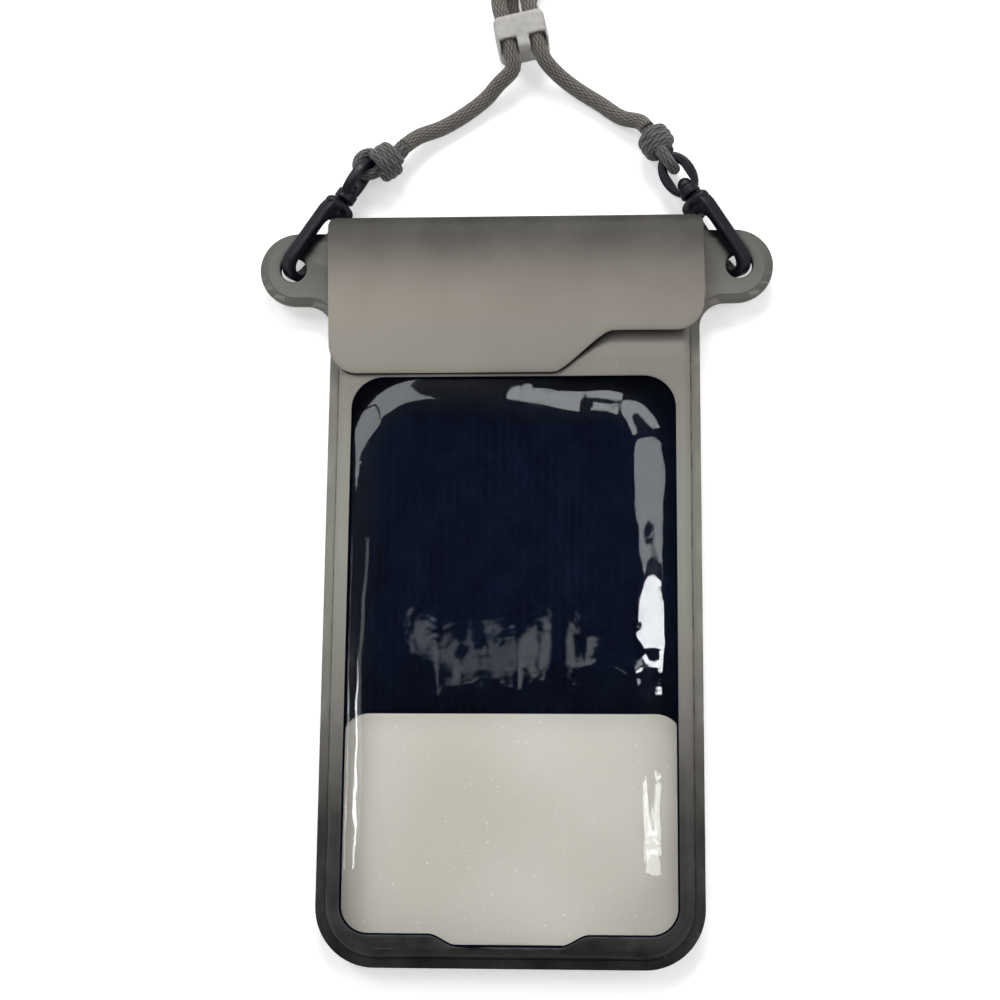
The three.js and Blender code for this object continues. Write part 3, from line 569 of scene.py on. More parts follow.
def eared_outline(inset):
    """The pouch's plan with both ears, moved inward by the inset, counter-clockwise."""
    low = EAR_CENTRE_Y - EAR_RADIUS
    corner = CORNER_RADIUS - inset
    right = arc((HALF_WIDTH - CORNER_RADIUS, CORNER_RADIUS), corner, -90, 0, 16)
    right += [(HALF_WIDTH - inset, y) for y in range(24, 186, 6)]
    right += arc((HALF_WIDTH + EAR_FILLET, low - EAR_FILLET), EAR_FILLET + inset, 180, 90, 12)
    right += arc((EAR_CENTRE_X, EAR_CENTRE_Y), EAR_RADIUS - inset, -90, 90, 28)
    left = [(-x, y) for x, y in reversed(right)]
    return right + left


def tray_outline(half, low, high, low_radius, high_radius):
    """A rounded rectangle with its own radii at its lower and upper ends, counter-clockwise."""
    points = arc((half - low_radius, low + low_radius), low_radius, -90, 0, 16)
    points += [(half, y) for y in range(24, 190, 6) if low + low_radius + 2 < y < high - high_radius - 2]
    points += arc((half - high_radius, high - high_radius), high_radius, 0, 90, 12)
    return points + [(-x, y) for x, y in reversed(points)]


def ring_of(bm, outline, z):
    """Adds one closed row of points at a height; the height may be a function of the place."""
    return [bm.verts.new(at(x, y, z(x, y) if callable(z) else z)) for x, y in outline]


def wall_between(bm, lower, upper):
    """Joins two closed rows that have the same number of points."""
    for k in range(len(lower)):
        n = (k + 1) % len(lower)
        bm.faces.new((lower[k], lower[n], upper[n], upper[k])).smooth = True


def flat_between(bm, *rows):
    """Fills the flat area between an outer closed row and any rows inside it."""
    edges = []
    for row in rows:
        for k in range(len(row)):
            pair = (row[k], row[(k + 1) % len(row)])
            edge = bm.edges.get(pair)
            edges.append(edge if edge else bm.edges.new(pair))
    filled = bmesh.ops.triangle_fill(bm, use_beauty=True, use_dissolve=False, edges=edges)
    for item in filled["geom"]:
        if isinstance(item, bmesh.types.BMFace):
            item.smooth = True


def face_up(bm, upward):
    """Makes all faces agree, and turns them so that most look up, or down."""
    bmesh.ops.recalc_face_normals(bm, faces=bm.faces)
    bm.normal_update()
    total = sum(face.normal.z * face.calc_area() for face in bm.faces)
    if (total > 0) != upward:
        bmesh.ops.reverse_faces(bm, faces=bm.faces)


def thicken(piece, thickness, edge_round, inner=0):
    """Gives a formed sheet its thickness on the inner side, then rounds its cut edges."""
    solidify = piece.modifiers.new("sheet_thickness", "SOLIDIFY")
    solidify.thickness = thickness * MM
    solidify.offset = -1
    solidify.material_offset = inner
    if edge_round:
        bevel = piece.modifiers.new("cut_edge", "BEVEL")
        bevel.width = edge_round * MM
        bevel.segments = 2
        bevel.limit_method = "ANGLE"
        bevel.angle_limit = math.radians(50)


soft_grain, given, outlet = new_group(
    "soft_plastic_surface",
    {"Grain scale": 900.0, "Wave scale": 28.0, "Wave depth": 0.35, "Scuffs": 0.5},
    ("Height", "Scuff mask", "Mottle"),
)
place = surface_place(soft_grain)
grain = noise_node(soft_grain, place, given["Grain scale"])
waves = noise_node(soft_grain, place, given["Wave scale"], 1.5)
mottle = noise_node(soft_grain, place, 55.0, 4.0, 0.6)
stretched = soft_grain.nodes.new("ShaderNodeMapping")
set_inputs(soft_grain, stretched, {"Vector": place, "Scale": (1.0, 0.12, 1.0), "Rotation": (0, 0, 0.5)})
scratch = spread(soft_grain, noise_node(soft_grain, stretched.outputs[0], 700.0, 3.0, 0.7), 0.66, 0.74)
scratch = math_node(soft_grain, "MULTIPLY", scratch, spread(soft_grain, mottle, 0.50, 0.72))
scratch = math_node(soft_grain, "MULTIPLY", scratch, given["Scuffs"])
height = math_node(soft_grain, "MULTIPLY", waves, given["Wave depth"])
height = math_node(soft_grain, "ADD", height, math_node(soft_grain, "MULTIPLY", grain, 0.020))
set_inputs(soft_grain, outlet, {"Height": height, "Scuff mask": scratch, "Mottle": mottle})


def srgb(*levels):
    """A colour as a picture editor shows it, 0 to 255, turned into a plain linear colour."""
    return tuple((v / 255 / 12.92) if v < 11 else ((v / 255 + 0.055) / 1.055) ** 2.4 for v in levels)


def along_pouch(tree, stops):
    """A colour that changes from the pouch's bottom edge, at 0, to its fold; it carries painted shade along
    the sheet.
    """
    distance = axis_of(tree, surface_place(tree), 1)
    share = spread(tree, distance, BOTTOM_EDGE_Y, BOTTOM_EDGE_Y + FOLD_TOP * MM)
    ramp = tree.nodes.new("ShaderNodeValToRGB")
    ramp.color_ramp.interpolation = "B_SPLINE"
    while len(ramp.color_ramp.elements) < len(stops):
        ramp.color_ramp.elements.new(0.5)
    for element, (y, colour) in zip(ramp.color_ramp.elements, stops):
        element.position = y / FOLD_TOP
        element.color = (*colour, 1)
    tree.links.new(share, ramp.inputs[0])
    return ramp.outputs[0]


def soft_plastic(name, stops, roughness, painted_side_shade=0.0, wave_depth=0.35, painted_shadow_reach=0.0):
    """Soft PVC sheet: a slow colour change with painted shade along it, painted shade toward the right side
    and, where asked, painted contact shadow; faint mottling and scuffs, satin gloss and slight waves.
    """
    material, tree, look = new_material(name)
    skin = use_group(tree, soft_grain, {"Wave depth": wave_depth})
    half = HALF_WIDTH * MM
    across = axis_of(tree, surface_place(tree), 0)
    # Painted shade: the sheet is mixed toward near-black toward its right side.
    shade = spread(tree, across, -half, half, 0.0, painted_side_shade)
    colour = mix_colours(tree, shade, along_pouch(tree, stops), (0.03, 0.03, 0.03))
    mottling = spread(tree, skin["Mottle"], 0.3, 0.7, 0.0, 0.10)
    colour = mix_colours(tree, mottling, colour, (0.42, 0.40, 0.36))
    colour = mix_colours(tree, skin["Scuff mask"], colour, (0.55, 0.53, 0.50))
    # Painted contact shadow: near-black where other parts come close, as under the flap's edge and round the
    # window's cut.
    if painted_shadow_reach:
        contact = tree.nodes.new("ShaderNodeAmbientOcclusion")
        contact.samples = 12
        contact.inputs["Distance"].default_value = painted_shadow_reach
        painted_shadow_share = spread(tree, contact.outputs["AO"], 0.84, 0.60, 0.0, 0.98)
        colour = mix_colours(tree, painted_shadow_share, colour, (0.006, 0.006, 0.008))
    values = {
        "Base Color": colour,
        "Roughness": spread(tree, skin["Mottle"], 0.3, 0.7, roughness - 0.06, roughness + 0.06),
        "Specular IOR Level": 0.10,
        "Normal": relief(tree, skin["Height"], 0.6, 1.0),
    }
    set_inputs(tree, look, values)
    return material


# Painted shade: the taupe darkens to near-black toward the frame's bottom edge, and darker again at the ears.
frame_colour_and_shade_stops = [
    (0, srgb(5, 5, 9)),
    (6, srgb(9, 9, 13)),
    (16, srgb(22, 22, 25)),
    (32, srgb(40, 40, 40)),
    (52, srgb(70, 68, 65)),
    (76, srgb(124, 121, 115)),
    (105, srgb(142, 142, 132)),
    (140, srgb(142, 142, 131)),
    (170, srgb(131, 127, 120)),
    (196, srgb(116, 114, 108)),
    (206, srgb(96, 95, 91)),
]
taupe_frame = soft_plastic("taupe_soft_plastic", frame_colour_and_shade_stops, 0.38, painted_side_shade=0.08, painted_shadow_reach=3.6 * MM)
# Painted shade: the flap darkens over the fold, where it turns away from the light.
flap_colour_and_shade_stops = [
    (160, srgb(138, 134, 125)),
    (176, srgb(141, 137, 128)),
    (188, srgb(147, 140, 131)),
    (198, srgb(141, 133, 124)),
    (206, srgb(117, 111, 104)),
    (212, srgb(78, 74, 70)),
    (217, srgb(52, 50, 47)),
    (221, srgb(56, 54, 51)),
]
taupe_flap = soft_plastic("taupe_soft_plastic_flap", flap_colour_and_shade_stops, 0.42, painted_side_shade=0.27, wave_depth=0.5)
# Painted shade: the back darkens toward its bottom edge, as the front does.
back_colour_and_shade_stops = [(0, srgb(60, 60, 60)), (100, srgb(132, 130, 122)), (221, srgb(138, 134, 125))]
taupe_back = soft_plastic("taupe_soft_plastic_back", back_colour_and_shade_stops, 0.4, painted_side_shade=0.1)

navy_inside, tree, look = new_material("navy_inner_face")
across = axis_of(tree, surface_place(tree), 0)
RIB_SPACING = 2.6 * MM
ribs = math_node(tree, "SINE", math_node(tree, "MULTIPLY", across, 2 * math.pi / RIB_SPACING))
cloudy = spread(tree, noise_node(tree, None, 24.0, 3.0), 0.3, 0.75)
base = mix_colours(tree, cloudy, srgb(2, 4, 17), srgb(5, 13, 27))
# Painted highlight: the rib crests are mixed lighter.
base = mix_colours(tree, spread(tree, ribs, 0.2, 1.0, 0.0, 0.16), base, srgb(16, 24, 42))
values = {
    "Base Color": base,
    "Roughness": 0.8,
    "Specular IOR Level": 0.0,
    "Normal": relief(tree, ribs, 0.2, 0.15),
}
set_inputs(tree, look, values)

bm = bmesh.new()
edge_row = ring_of(bm, eared_outline(0), SEAM_LOW)
holes = [
    ring_of(bm, arc((side * EAR_HOLE_X, EAR_CENTRE_Y), EAR_HOLE_RADIUS, 0, 345, 23), SEAM_LOW)
    for side in (-1, 1)
]
BACK_ROUND = 1.9
rows = []
for k in range(9):
    lean = math.radians(90 * k / 8)
    inset = WELD_WIDTH + 0.1 + BACK_ROUND * (1 - math.cos(lean))
    z = SEAM_LOW - SEAM_LOW * math.sin(lean)
    outline = tray_outline(HALF_WIDTH - inset, inset, TRAY_TOP + WELD_WIDTH - inset, CORNER_RADIUS - inset, 8)
    rows.append(ring_of(bm, outline, z))
flat_between(bm, edge_row, rows[0], *holes)
for lower, upper in zip(rows, rows[1:]):
    wall_between(bm, lower, upper)
opening = tray_outline(half=48.4, low=7.6, high=68.6, low_radius=9.0, high_radius=7.0)
flat_between(bm, rows[-1], ring_of(bm, opening, 0.0))
face_up(bm, False)
back_tray = new_piece("back_tray", bm, [taupe_back, navy_inside], "pouch")
thicken(back_tray, SHEET, 0, inner=1)

FLAP_HALF = 56.3
FLAP_TOP = 11.4
FOLD_RADIUS = 3.5
MOUTH_EDGE = 213.5
FLAP_BEND = 13.0


def flap_edge(x):
    """How far down the flap reaches at a place across it: long at the left, short at the right."""
    long_edge, short_edge = 171.5, 184.0
    step = min(max((x - 12.5) / 16.0, 0.0), 1.0)
    eased = step * step * (3 - 2 * step) * 0.35 + step * 0.65
    low = long_edge + (short_edge - long_edge) * eased
    for side, radius in ((-1, 9.2), (1, 8.5)):
        past = side * x - (FLAP_HALF - radius)
        if past > 0:
            low += radius - math.sqrt(max(radius * radius - past * past, 0.0))
    return low


columns = []
CORNER_STEPS = 12
for k in range(CORNER_STEPS):
    columns.append(-FLAP_HALF + 9.2 - 9.2 * math.cos(math.radians(90 * k / CORNER_STEPS)))
columns += [-47.0 + 2.0 * k for k in range(48)]
for k in range(CORNER_STEPS + 1):
    columns.append(FLAP_HALF - 8.5 + 8.5 * math.sin(math.radians(90 * k / CORNER_STEPS)))
columns = sorted(set(round(x, 3) for x in columns))

bm = bmesh.new()
grid = []
for x in columns:
    column = []
    low = flap_edge(x)
    bend_start = FOLD_TOP - FLAP_BEND
    for k in range(30):
        y = low + (bend_start - low) * (k / 30)
        column.append((y, FLAP_TOP))
    for k in range(15):
        turn = math.radians(90 * k / 14)
        drop = (FLAP_TOP - SEAM_LOW) / 2
        column.append((bend_start + FLAP_BEND * math.sin(turn), FLAP_TOP - drop + drop * math.cos(turn)))
    for k in range(1, 9):
        turn = math.radians(90 * k / 8)
        middle = (FLAP_TOP + SEAM_LOW) / 2
        y = FOLD_TOP - FOLD_RADIUS + FOLD_RADIUS * math.cos(turn)
        column.append((y, middle - FOLD_RADIUS * math.sin(turn)))
    column.append((MOUTH_EDGE - 2, SEAM_LOW))
    line = []
    for y, z in column:
        near_fold = max(0.0, y - (FOLD_TOP - 3.2))
        squeeze = (3.2 - math.sqrt(max(3.2 * 3.2 - near_fold * near_fold, 0.0))) / FLAP_HALF
        place_x = x * (1 - squeeze)
        if x < 0:
            place_x += 1.5 * (x / -FLAP_HALF) ** 3 * min(1.0, max(0.0, (FOLD_TOP - y) / 45))
        if z > FLAP_TOP - 1.5 and y < bend_start:
            to_edge = y - flap_edge(x)
            z -= 0.30 * max(0.0, 1 - to_edge / 2.2) ** 2
            z += 0.85 * max(0.0, min(1.0, (x - 18) / 14)) * max(0.0, 1 - to_edge / 22) ** 1.5
            z += 0.22 * noise.noise(Vector((x * 0.05, y * 0.06, 3.0)))
        line.append(bm.verts.new(at(place_x, y, z)))
    grid.append(line)
for left, right in zip(grid, grid[1:]):
    for k in range(len(left) - 1):
        bm.faces.new((left[k], right[k], right[k + 1], left[k + 1])).smooth = True
face_up(bm, True)
flap = new_piece("fold_and_flap", bm, [taupe_flap, navy_inside], "pouch")
thicken(flap, SHEET, 0.22)
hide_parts("back_panel")

# Clear films: soft PVC sheet welded inside the cut-outs, a big one in the front and a short one in
# the lower part of the back. They are a little slack, so they carry long ripples and bright streaks.
film_ripple, given, outlet = new_group(
    "slack_film", {"Ripple": 0.5, "Dust": 0.5}, ("Height", "Dust mask")
)
place = surface_place(film_ripple)
pulled = film_ripple.nodes.new("ShaderNodeMapping")
set_inputs(film_ripple, pulled, {"Vector": place, "Scale": (1.0, 0.30, 1.0)})
long_waves = noise_node(film_ripple, pulled.outputs[0], 75.0, 1.5, 0.45)
small_waves = math_node(film_ripple, "MULTIPLY", noise_node(film_ripple, place, 210.0, 2.0, 0.5), 0.10)
height = math_node(film_ripple, "ADD", long_waves, small_waves)
height = math_node(film_ripple, "MULTIPLY", height, given["Ripple"])
specks = spread(film_ripple, noise_node(film_ripple, place, 1700.0, 2.0, 0.6), 0.70, 0.78)
specks = math_node(film_ripple, "MULTIPLY", specks, given["Dust"])
set_inputs(film_ripple, outlet, {"Height": height, "Dust mask": specks})


def clear_film(name, tint, ripple, roughness, transmission, haze=0.0):
    """Clear soft film: glassy, faintly tinted, with slack ripples and a few specks of dust."""
    material, tree, look = new_material(name)
    slack = use_group(tree, film_ripple, {"Ripple": ripple})
    patches = noise_node(tree, surface_place(tree), 17.0, 1.5, 0.45)
    colour = mix_colours(tree, spread(tree, patches, 0.35, 0.75, 0.0, haze), tint, (0.80, 0.79, 0.76))
    values = {
        "Base Color": mix_colours(tree, slack["Dust mask"], colour, (0.95, 0.95, 0.93)),
        "Roughness": spread(tree, slack["Dust mask"], 0.0, 1.0, roughness, 0.5),
        "Transmission Weight": transmission,
        "IOR": 1.27,
        "Normal": relief(tree, slack["Height"], 0.5, 0.9),
    }
    set_inputs(tree, look, values)
    return material


def film_mesh(half, low, high, low_radius, high_radius, surface):
    """A closed sheet of film with rounded corners; surface gives its top height at a place."""
    film = bmesh.new()
    heights = [low + low_radius * (1 - math.cos(math.radians(90 * k / 8))) for k in range(8)]
    body = max(4, round((high - high_radius - low - low_radius) / 1.8))
    heights += [low + low_radius + (high - high_radius - low - low_radius) * k / body for k in range(body)]
    heights += [high - high_radius + high_radius * math.sin(math.radians(90 * k / 8)) for k in range(9)]
    across = 72
    previous = None
    for y in heights:
        dip = max(0.0, low + low_radius - y)
        top = max(0.0, y - (high - high_radius))
        width = half
        width -= low_radius - math.sqrt(max(low_radius ** 2 - dip ** 2, 0.3))
        width -= high_radius - math.sqrt(max(high_radius ** 2 - top ** 2, 0.3))
        row = []
        for k in range(across + 1):
            x = width * (2 * k / across - 1)
            row.append(film.verts.new(at(x, y, surface(x, y))))
        if previous:
            for k in range(across):
                film.faces.new((previous[k], previous[k + 1], row[k + 1], row[k])).smooth = True
        previous = row
    face_up(film, True)
    return film


FILM = 0.5


def slack_at(x, y, half, low, high, rise, seed):
    """How high slack film stands above its weld: it rises at once at the left, later at the right."""
    corner = 22.0
    reach_x = max(0.0, abs(x) - (half - corner))
    reach_y = max(0.0, abs(y - (low + high) / 2) - ((high - low) / 2 - corner))
    inward = max(0.0, corner - math.hypot(reach_x, reach_y) - 1.2)
    at_once = 1 - (1 - min(inward / 14.0, 1.0)) ** 2
    later = min(max((inward - 0.5) / 14.5, 0.0), 1.0)
    later = later * later * (3 - 2 * later)
    right = min(max((x + 10) / 30, 0.0), 1.0)
    climb = at_once + (later - at_once) * right
    ripple = 0.14 * noise.noise(Vector((x * 0.055, y * 0.020, seed)))
    near_edge = max(0.0, 1 - abs(climb - 0.55) / 0.5)
    ripple += (0.08 + 0.16 * right) * near_edge * noise.noise(Vector((x * 0.10, y * 0.085, seed + 5)))
    creased = max(0.0, 1 - math.hypot((x - 36) / 20, (y - 84) / 15)) * right
    ripple += 0.5 * creased * noise.noise(Vector((x * 0.10 + y * 0.10, y * 0.16 - x * 0.05, seed + 9)))
    pinched = max(0.0, 1 - math.hypot((x - 44) / 8, (y - 146) / 9))
    ripple += 0.9 * pinched * noise.noise(Vector((x * 0.30, y * 0.34, seed + 12)))
    return climb * (rise + ripple)


def slack_film(half, low, high, low_radius, high_radius, weld, rise, seed):
    """A film that is welded at one height and stands so far above it in its middle."""

    def surface(x, y):
        return weld + slack_at(x, y, half, low, high, rise, seed)

    return film_mesh(half, low, high, low_radius, high_radius, surface)


back_film_look = clear_film("clear_film_back", srgb(169, 166, 158), 0.35, 0.22, 0.30, haze=0.22)
back_film = new_piece(
    "back_window_film",
    slack_film(49.4, 6.6, 71.9, 10.0, 8.0, weld=1.3, rise=0.3, seed=11.0),
    [back_film_look],
    "pouch",
)
thicken(back_film, FILM, 0)
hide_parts("back_window")

# Press-to-close seal: a rib on the back sheet snaps between two lips on the front lip of the mouth,
# extruded in milky PVC and welded on. It is hidden under the flap.
track_look = clear_film("milky_seal_plastic", srgb(205, 203, 196), 0.1, 0.4, 0.25)
for node in ("zip_track_back", "zip_track_front"):
    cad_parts[node].data.materials.clear()
    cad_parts[node].data.materials.append(track_look)

# Hook-and-loop tapes: woven black tape glued under the flap and on the mouth lip, hooks on one
# and loops on the other, so that the fold stays shut.
tape_cloth, tree, look = new_material("black_hook_and_loop")
tufts = tree.nodes.new("ShaderNodeTexVoronoi")
set_inputs(tree, tufts, {"Vector": surface_place(tree), "Scale": 1400.0})
# Painted shade: the tufts' tops are lighter than the gaps between them.
tuft_height = spread(tree, tufts.outputs["Distance"], 0.0, 0.6, 1.0, 0.0)
values = {
    "Base Color": mix_colours(tree, tuft_height, (0.004, 0.004, 0.005), (0.030, 0.031, 0.036)),
    "Roughness": 0.95,
    "Normal": relief(tree, tuft_height, 1.0, 0.4),
}
set_inputs(tree, look, values)
for label, node in (("loop_tape_on_lip", "front_loop_strip"), ("hook_tape_under_flap", "flap_hook_strip")):
    low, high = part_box(node)
    bm = bmesh.new()
    slices = 46
    previous = None
    for k in range(slices + 1):
        x = low.x + (high.x - low.x) * k / slices
        wave = 0.00006 * math.sin(k * 2.1)
        corner = 0.0006 if k in (0, slices) else 0.0
        section = [
            (low.y + corner + wave, low.z),
            (high.y - corner + wave, low.z),
            (high.y - corner + wave, high.z),
            (low.y + corner + wave, high.z),
        ]
        ring = [bm.verts.new((x, y, z)) for y, z in section]
        if previous:
            for n in range(4):
                bm.faces.new((previous[n], ring[n], ring[(n + 1) % 4], previous[(n + 1) % 4]))
        else:
            bm.faces.new(ring)
        previous = ring
    bm.faces.new(list(reversed(previous)))
    bmesh.ops.recalc_face_normals(bm, faces=bm.faces)
    tape = new_piece(label, bm, [tape_cloth], "pouch")
    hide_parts(node)

# Front frame: the front sheet of soft PVC, formed up from the welded edge to a flat land, with the
# big window cut out of it, a pressed step round both ears, and a thinner lip at the mouth.
LAND_TOP = 10.2
STEP_IN = 2.25
STEP_UP = 0.35
WINDOW_HALF = 47.6
WINDOW_TOP = 170.4
WINDOW_BOTTOM = 9.2
NOTCH_DROP = 3.1
NOTCH_OUTER = 22.5
NOTCH_INNER = 14.5


def window_cut(inset):
    """The window's outline with the shallow notch in its lower edge, counter-clockwise."""
    half = WINDOW_HALF - inset
    low = WINDOW_BOTTOM + inset
    high = WINDOW_TOP - inset
    notch = []
    for k in range(11):
        share = k / 10
        ease = share * share * (3 - 2 * share)
        notch.append((NOTCH_INNER + (NOTCH_OUTER - NOTCH_INNER) * share, low - NOTCH_DROP * (1 - ease)))
    right = [(0, low - NOTCH_DROP), (7, low - NOTCH_DROP)] + notch + [(30, low)]
    right += arc((half - 8 + inset, low + 8 - inset), 8 - inset, -90, 0, 12)
    right += [(half, y) for y in range(24, 156, 6)]
    right += arc((half - 9.5 + inset, high - 9.5 + inset), 9.5 - inset, 0, 90, 12)
    left = [(-x, y) for x, y in reversed(right) if x > 0]
    return right + left


def land_height(x, y):
    """The land waves slightly, and falls toward the mouth so that it passes under the flap."""
    fall = min(max((y - 175.0) / 13.0, 0.0), 1.0)
    fall = fall * fall * (3 - 2 * fall)
    return LAND_TOP - 2.0 * fall + 0.10 * noise.noise(Vector((x * 0.04, y * 0.035, 8.0)))


def cut_across(bm, places, direction):
    """Cuts every face along even planes, so that the land can wave."""
    for place in places:
        everything = bm.verts[:] + bm.edges[:] + bm.faces[:]
        bmesh.ops.bisect_plane(bm, geom=everything, plane_co=place, plane_no=direction)


bm = bmesh.new()
outer_edge = ring_of(bm, eared_outline(0), SEAM_HIGH)
step_foot = ring_of(bm, eared_outline(STEP_IN), SEAM_HIGH)
step_half = ring_of(bm, eared_outline(STEP_IN + 0.12), SEAM_HIGH + 0.8 * STEP_UP)
step_top = ring_of(bm, eared_outline(STEP_IN + 0.35), SEAM_HIGH + STEP_UP)
wall_between(bm, outer_edge, step_foot)
wall_between(bm, step_foot, step_half)
wall_between(bm, step_half, step_top)
holes = []
for side in (-1, 1):
    centre = (side * EAR_HOLE_X, EAR_CENTRE_Y)
    outer_lip = ring_of(bm, arc(centre, EAR_HOLE_RADIUS + 0.9, 0, 352.5, 47), SEAM_HIGH + STEP_UP)
    lip_crown = ring_of(bm, arc(centre, EAR_HOLE_RADIUS + 0.35, 0, 352.5, 47), SEAM_HIGH + STEP_UP + 0.06)
    inner_lip = ring_of(bm, arc(centre, EAR_HOLE_RADIUS, 0, 352.5, 47), SEAM_HIGH + STEP_UP - 0.18)
    wall_between(bm, outer_lip, lip_crown)
    wall_between(bm, lip_crown, inner_lip)
    holes.append(outer_lip)
rows = []
SHOULDER_STEPS = 10
for k in range(SHOULDER_STEPS + 1):
    lean = math.radians(90 * k / SHOULDER_STEPS)
    inset = WELD_WIDTH + 0.45 + 2.45 * (1 - math.cos(lean))
    z = SEAM_HIGH + STEP_UP + (LAND_TOP - SEAM_HIGH - STEP_UP) * math.sin(lean)
    outline = tray_outline(HALF_WIDTH - inset, inset, TRAY_TOP + WELD_WIDTH - inset, CORNER_RADIUS - inset, 8)
    rows.append(ring_of(bm, outline, z))
flat_between(bm, step_top, rows[0], *holes)
for lower, upper in zip(rows, rows[1:]):
    wall_between(bm, lower, upper)
soft_edge = ring_of(bm, window_cut(-0.7), LAND_TOP)
cut_edge = ring_of(bm, window_cut(-0.15), LAND_TOP - 0.10)
cut_drop = ring_of(bm, window_cut(0.4), LAND_TOP - 0.75)
flat_between(bm, rows[-1], soft_edge)
wall_between(bm, soft_edge, cut_edge)
taupe_faces = set(bm.faces)
wall_between(bm, cut_edge, cut_drop)
for face in bm.faces:
    if face not in taupe_faces:
        face.material_index = 1
ALONG = Vector((0, 1, 0))
ACROSS = Vector((1, 0, 0))
for cut in range(0, 50, 2):
    cut_across(bm, [at(0, 8 + 4 * cut, 0)], ALONG)
    cut_across(bm, [at(-46 + 2 * cut, 0, 0)], ACROSS)
cut_across(bm, [at(0, y, 0) for y in range(173, 204, 3)], ALONG)
for vert in bm.verts:
    x = vert.co.x / MM
    y = (vert.co.y - BOTTOM_EDGE_Y) / MM
    share = (vert.co.z / MM - SEAM_HIGH - STEP_UP) / (LAND_TOP - SEAM_HIGH - STEP_UP)
    if share > 0.05:
        vert.co.z += min(share, 1.0) * (land_height(x, y) - LAND_TOP) * MM
face_up(bm, True)
front_shell = new_piece("front_frame_shell", bm, [taupe_frame, navy_inside], "pouch")
thicken(front_shell, SHEET - 0.05, 0, inner=1)
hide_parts("front_frame")

MOUTH_LIP_TOP = 8.2
MOUTH_LIP_HALF = 51.5
MOUTH_LIP_ROUND = 1.6
lip_side = [(MOUTH_LIP_HALF, SEAM_MIDDLE)]
for k in range(7):
    lean = math.radians(15 * k)
    inward = MOUTH_LIP_ROUND * (1 - math.cos(lean))
    lip_side.append((MOUTH_LIP_HALF - inward, SEAM_HIGH + (MOUTH_LIP_TOP - SEAM_HIGH) * math.sin(lean)))
lip_flat = [(-49.0 + 3.5 * k, MOUTH_LIP_TOP) for k in range(1, 28)]
bm = bmesh.new()
previous = None
for x, z in [(-x, z) for x, z in lip_side] + lip_flat + lip_side[::-1]:
    line = []
    for k in range(7):
        y = TRAY_TOP - 1.0 + (MOUTH_EDGE - TRAY_TOP + 1.0) * k / 6
        line.append(bm.verts.new(at(x, y, z)))
    if previous:
        for k in range(6):
            bm.faces.new((previous[k], line[k], line[k + 1], previous[k + 1])).smooth = True
    previous = line
face_up(bm, True)
mouth_lip = new_piece("mouth_lip", bm, [taupe_frame, navy_inside], "pouch")
thicken(mouth_lip, SHEET - 0.05, 0.15, inner=1)

front_film_look = clear_film("clear_film_front", (1.0, 1.0, 0.995), 0.5, 0.03, 1.0)
front_film = new_piece(
    "front_window_film",
    slack_film(48.7, 5.9, 171.4, 11.0, 10.6, weld=9.35, rise=1.7, seed=2.0),
    [front_film_look],
    "pouch",
)
thicken(front_film, FILM, 0)
front_film.visible_shadow = False
back_film.visible_shadow = False
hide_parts("front_window")

# Snap hooks: one moulded nylon body each, flat-faced with rounded corners, through the ear hole,
# and a thin sprung gate that closes its mouth. The edges carry a painted highlight, a little lighter.
moulded, given, outlet = new_group(
    "moulded_nylon", {"Grain scale": 2200.0, "Highlight": 0.5}, ("Height", "Highlight mask", "Cloud")
)
place = surface_place(moulded)
grain = noise_node(moulded, place, given["Grain scale"])
cloud = noise_node(moulded, place, 260.0, 3.0, 0.6)
ridge = moulded.nodes.new("ShaderNodeNewGeometry").outputs["Pointiness"]
# Painted highlight: convex edges are made lighter, in patches.
edge = math_node(moulded, "MULTIPLY", spread(moulded, ridge, 0.53, 0.64), spread(moulded, cloud, 0.35, 0.65))
edge = math_node(moulded, "MULTIPLY", edge, given["Highlight"])
set_inputs(moulded, outlet, {"Height": grain, "Highlight mask": edge, "Cloud": cloud})


def nylon(name, base, highlight_colour, roughness):
    """Injection-moulded nylon: faint flow clouds, fine grain, and a painted highlight that makes the edges
    lighter in patches.
    """
    material, tree, look = new_material(name)
    skin = use_group(tree, moulded, {})
    cloudy = spread(tree, skin["Cloud"], 0.3, 0.7, 0.0, 0.35)
    colour = mix_colours(tree, cloudy, base, tuple(1.7 * c for c in base))
    values = {
        "Base Color": mix_colours(tree, skin["Highlight mask"], colour, highlight_colour),
        "Roughness": spread(tree, skin["Cloud"], 0.3, 0.7, roughness - 0.05, roughness + 0.08),
        "Specular IOR Level": 0.22,
        "Normal": relief(tree, skin["Height"], 0.25, 0.08),
    }
    set_inputs(tree, look, values)
    return material


def moulded_from(node, name, material, body, voxel, smoothing, fullness):
    """A smooth moulded piece with softened edges, made on the solid's own shape."""
    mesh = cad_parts[node].data.copy()
    mesh.name = name
    mesh.materials.clear()
    mesh.materials.append(material)
    piece = bpy.data.objects.new(name, mesh)
    bpy.context.collection.objects.link(piece)
    merge = bmesh.new()
    merge.from_mesh(mesh)
    bmesh.ops.remove_doubles(merge, verts=merge.verts, dist=1e-6)
    merge.to_mesh(mesh)
    merge.free()
    remesh = piece.modifiers.new("fine_skin", "REMESH")
    remesh.mode = "VOXEL"
    remesh.voxel_size = voxel * MM
    remesh.use_smooth_shade = True
    soften = piece.modifiers.new("rounded_edges", "SMOOTH")
    soften.factor = 0.5
    soften.iterations = smoothing
    fuller = piece.modifiers.new("moulded_fullness", "DISPLACE")
    fuller.strength = fullness * MM
    fuller.mid_level = 0.0
    depsgraph = bpy.context.evaluated_depsgraph_get()
    finished = bpy.data.meshes.new_from_object(piece.evaluated_get(depsgraph))
    piece.modifiers.clear()
    piece.data = finished
    for face in finished.polygons:
        face.use_smooth = True
    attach(piece, body)
    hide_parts(node)
    return piece


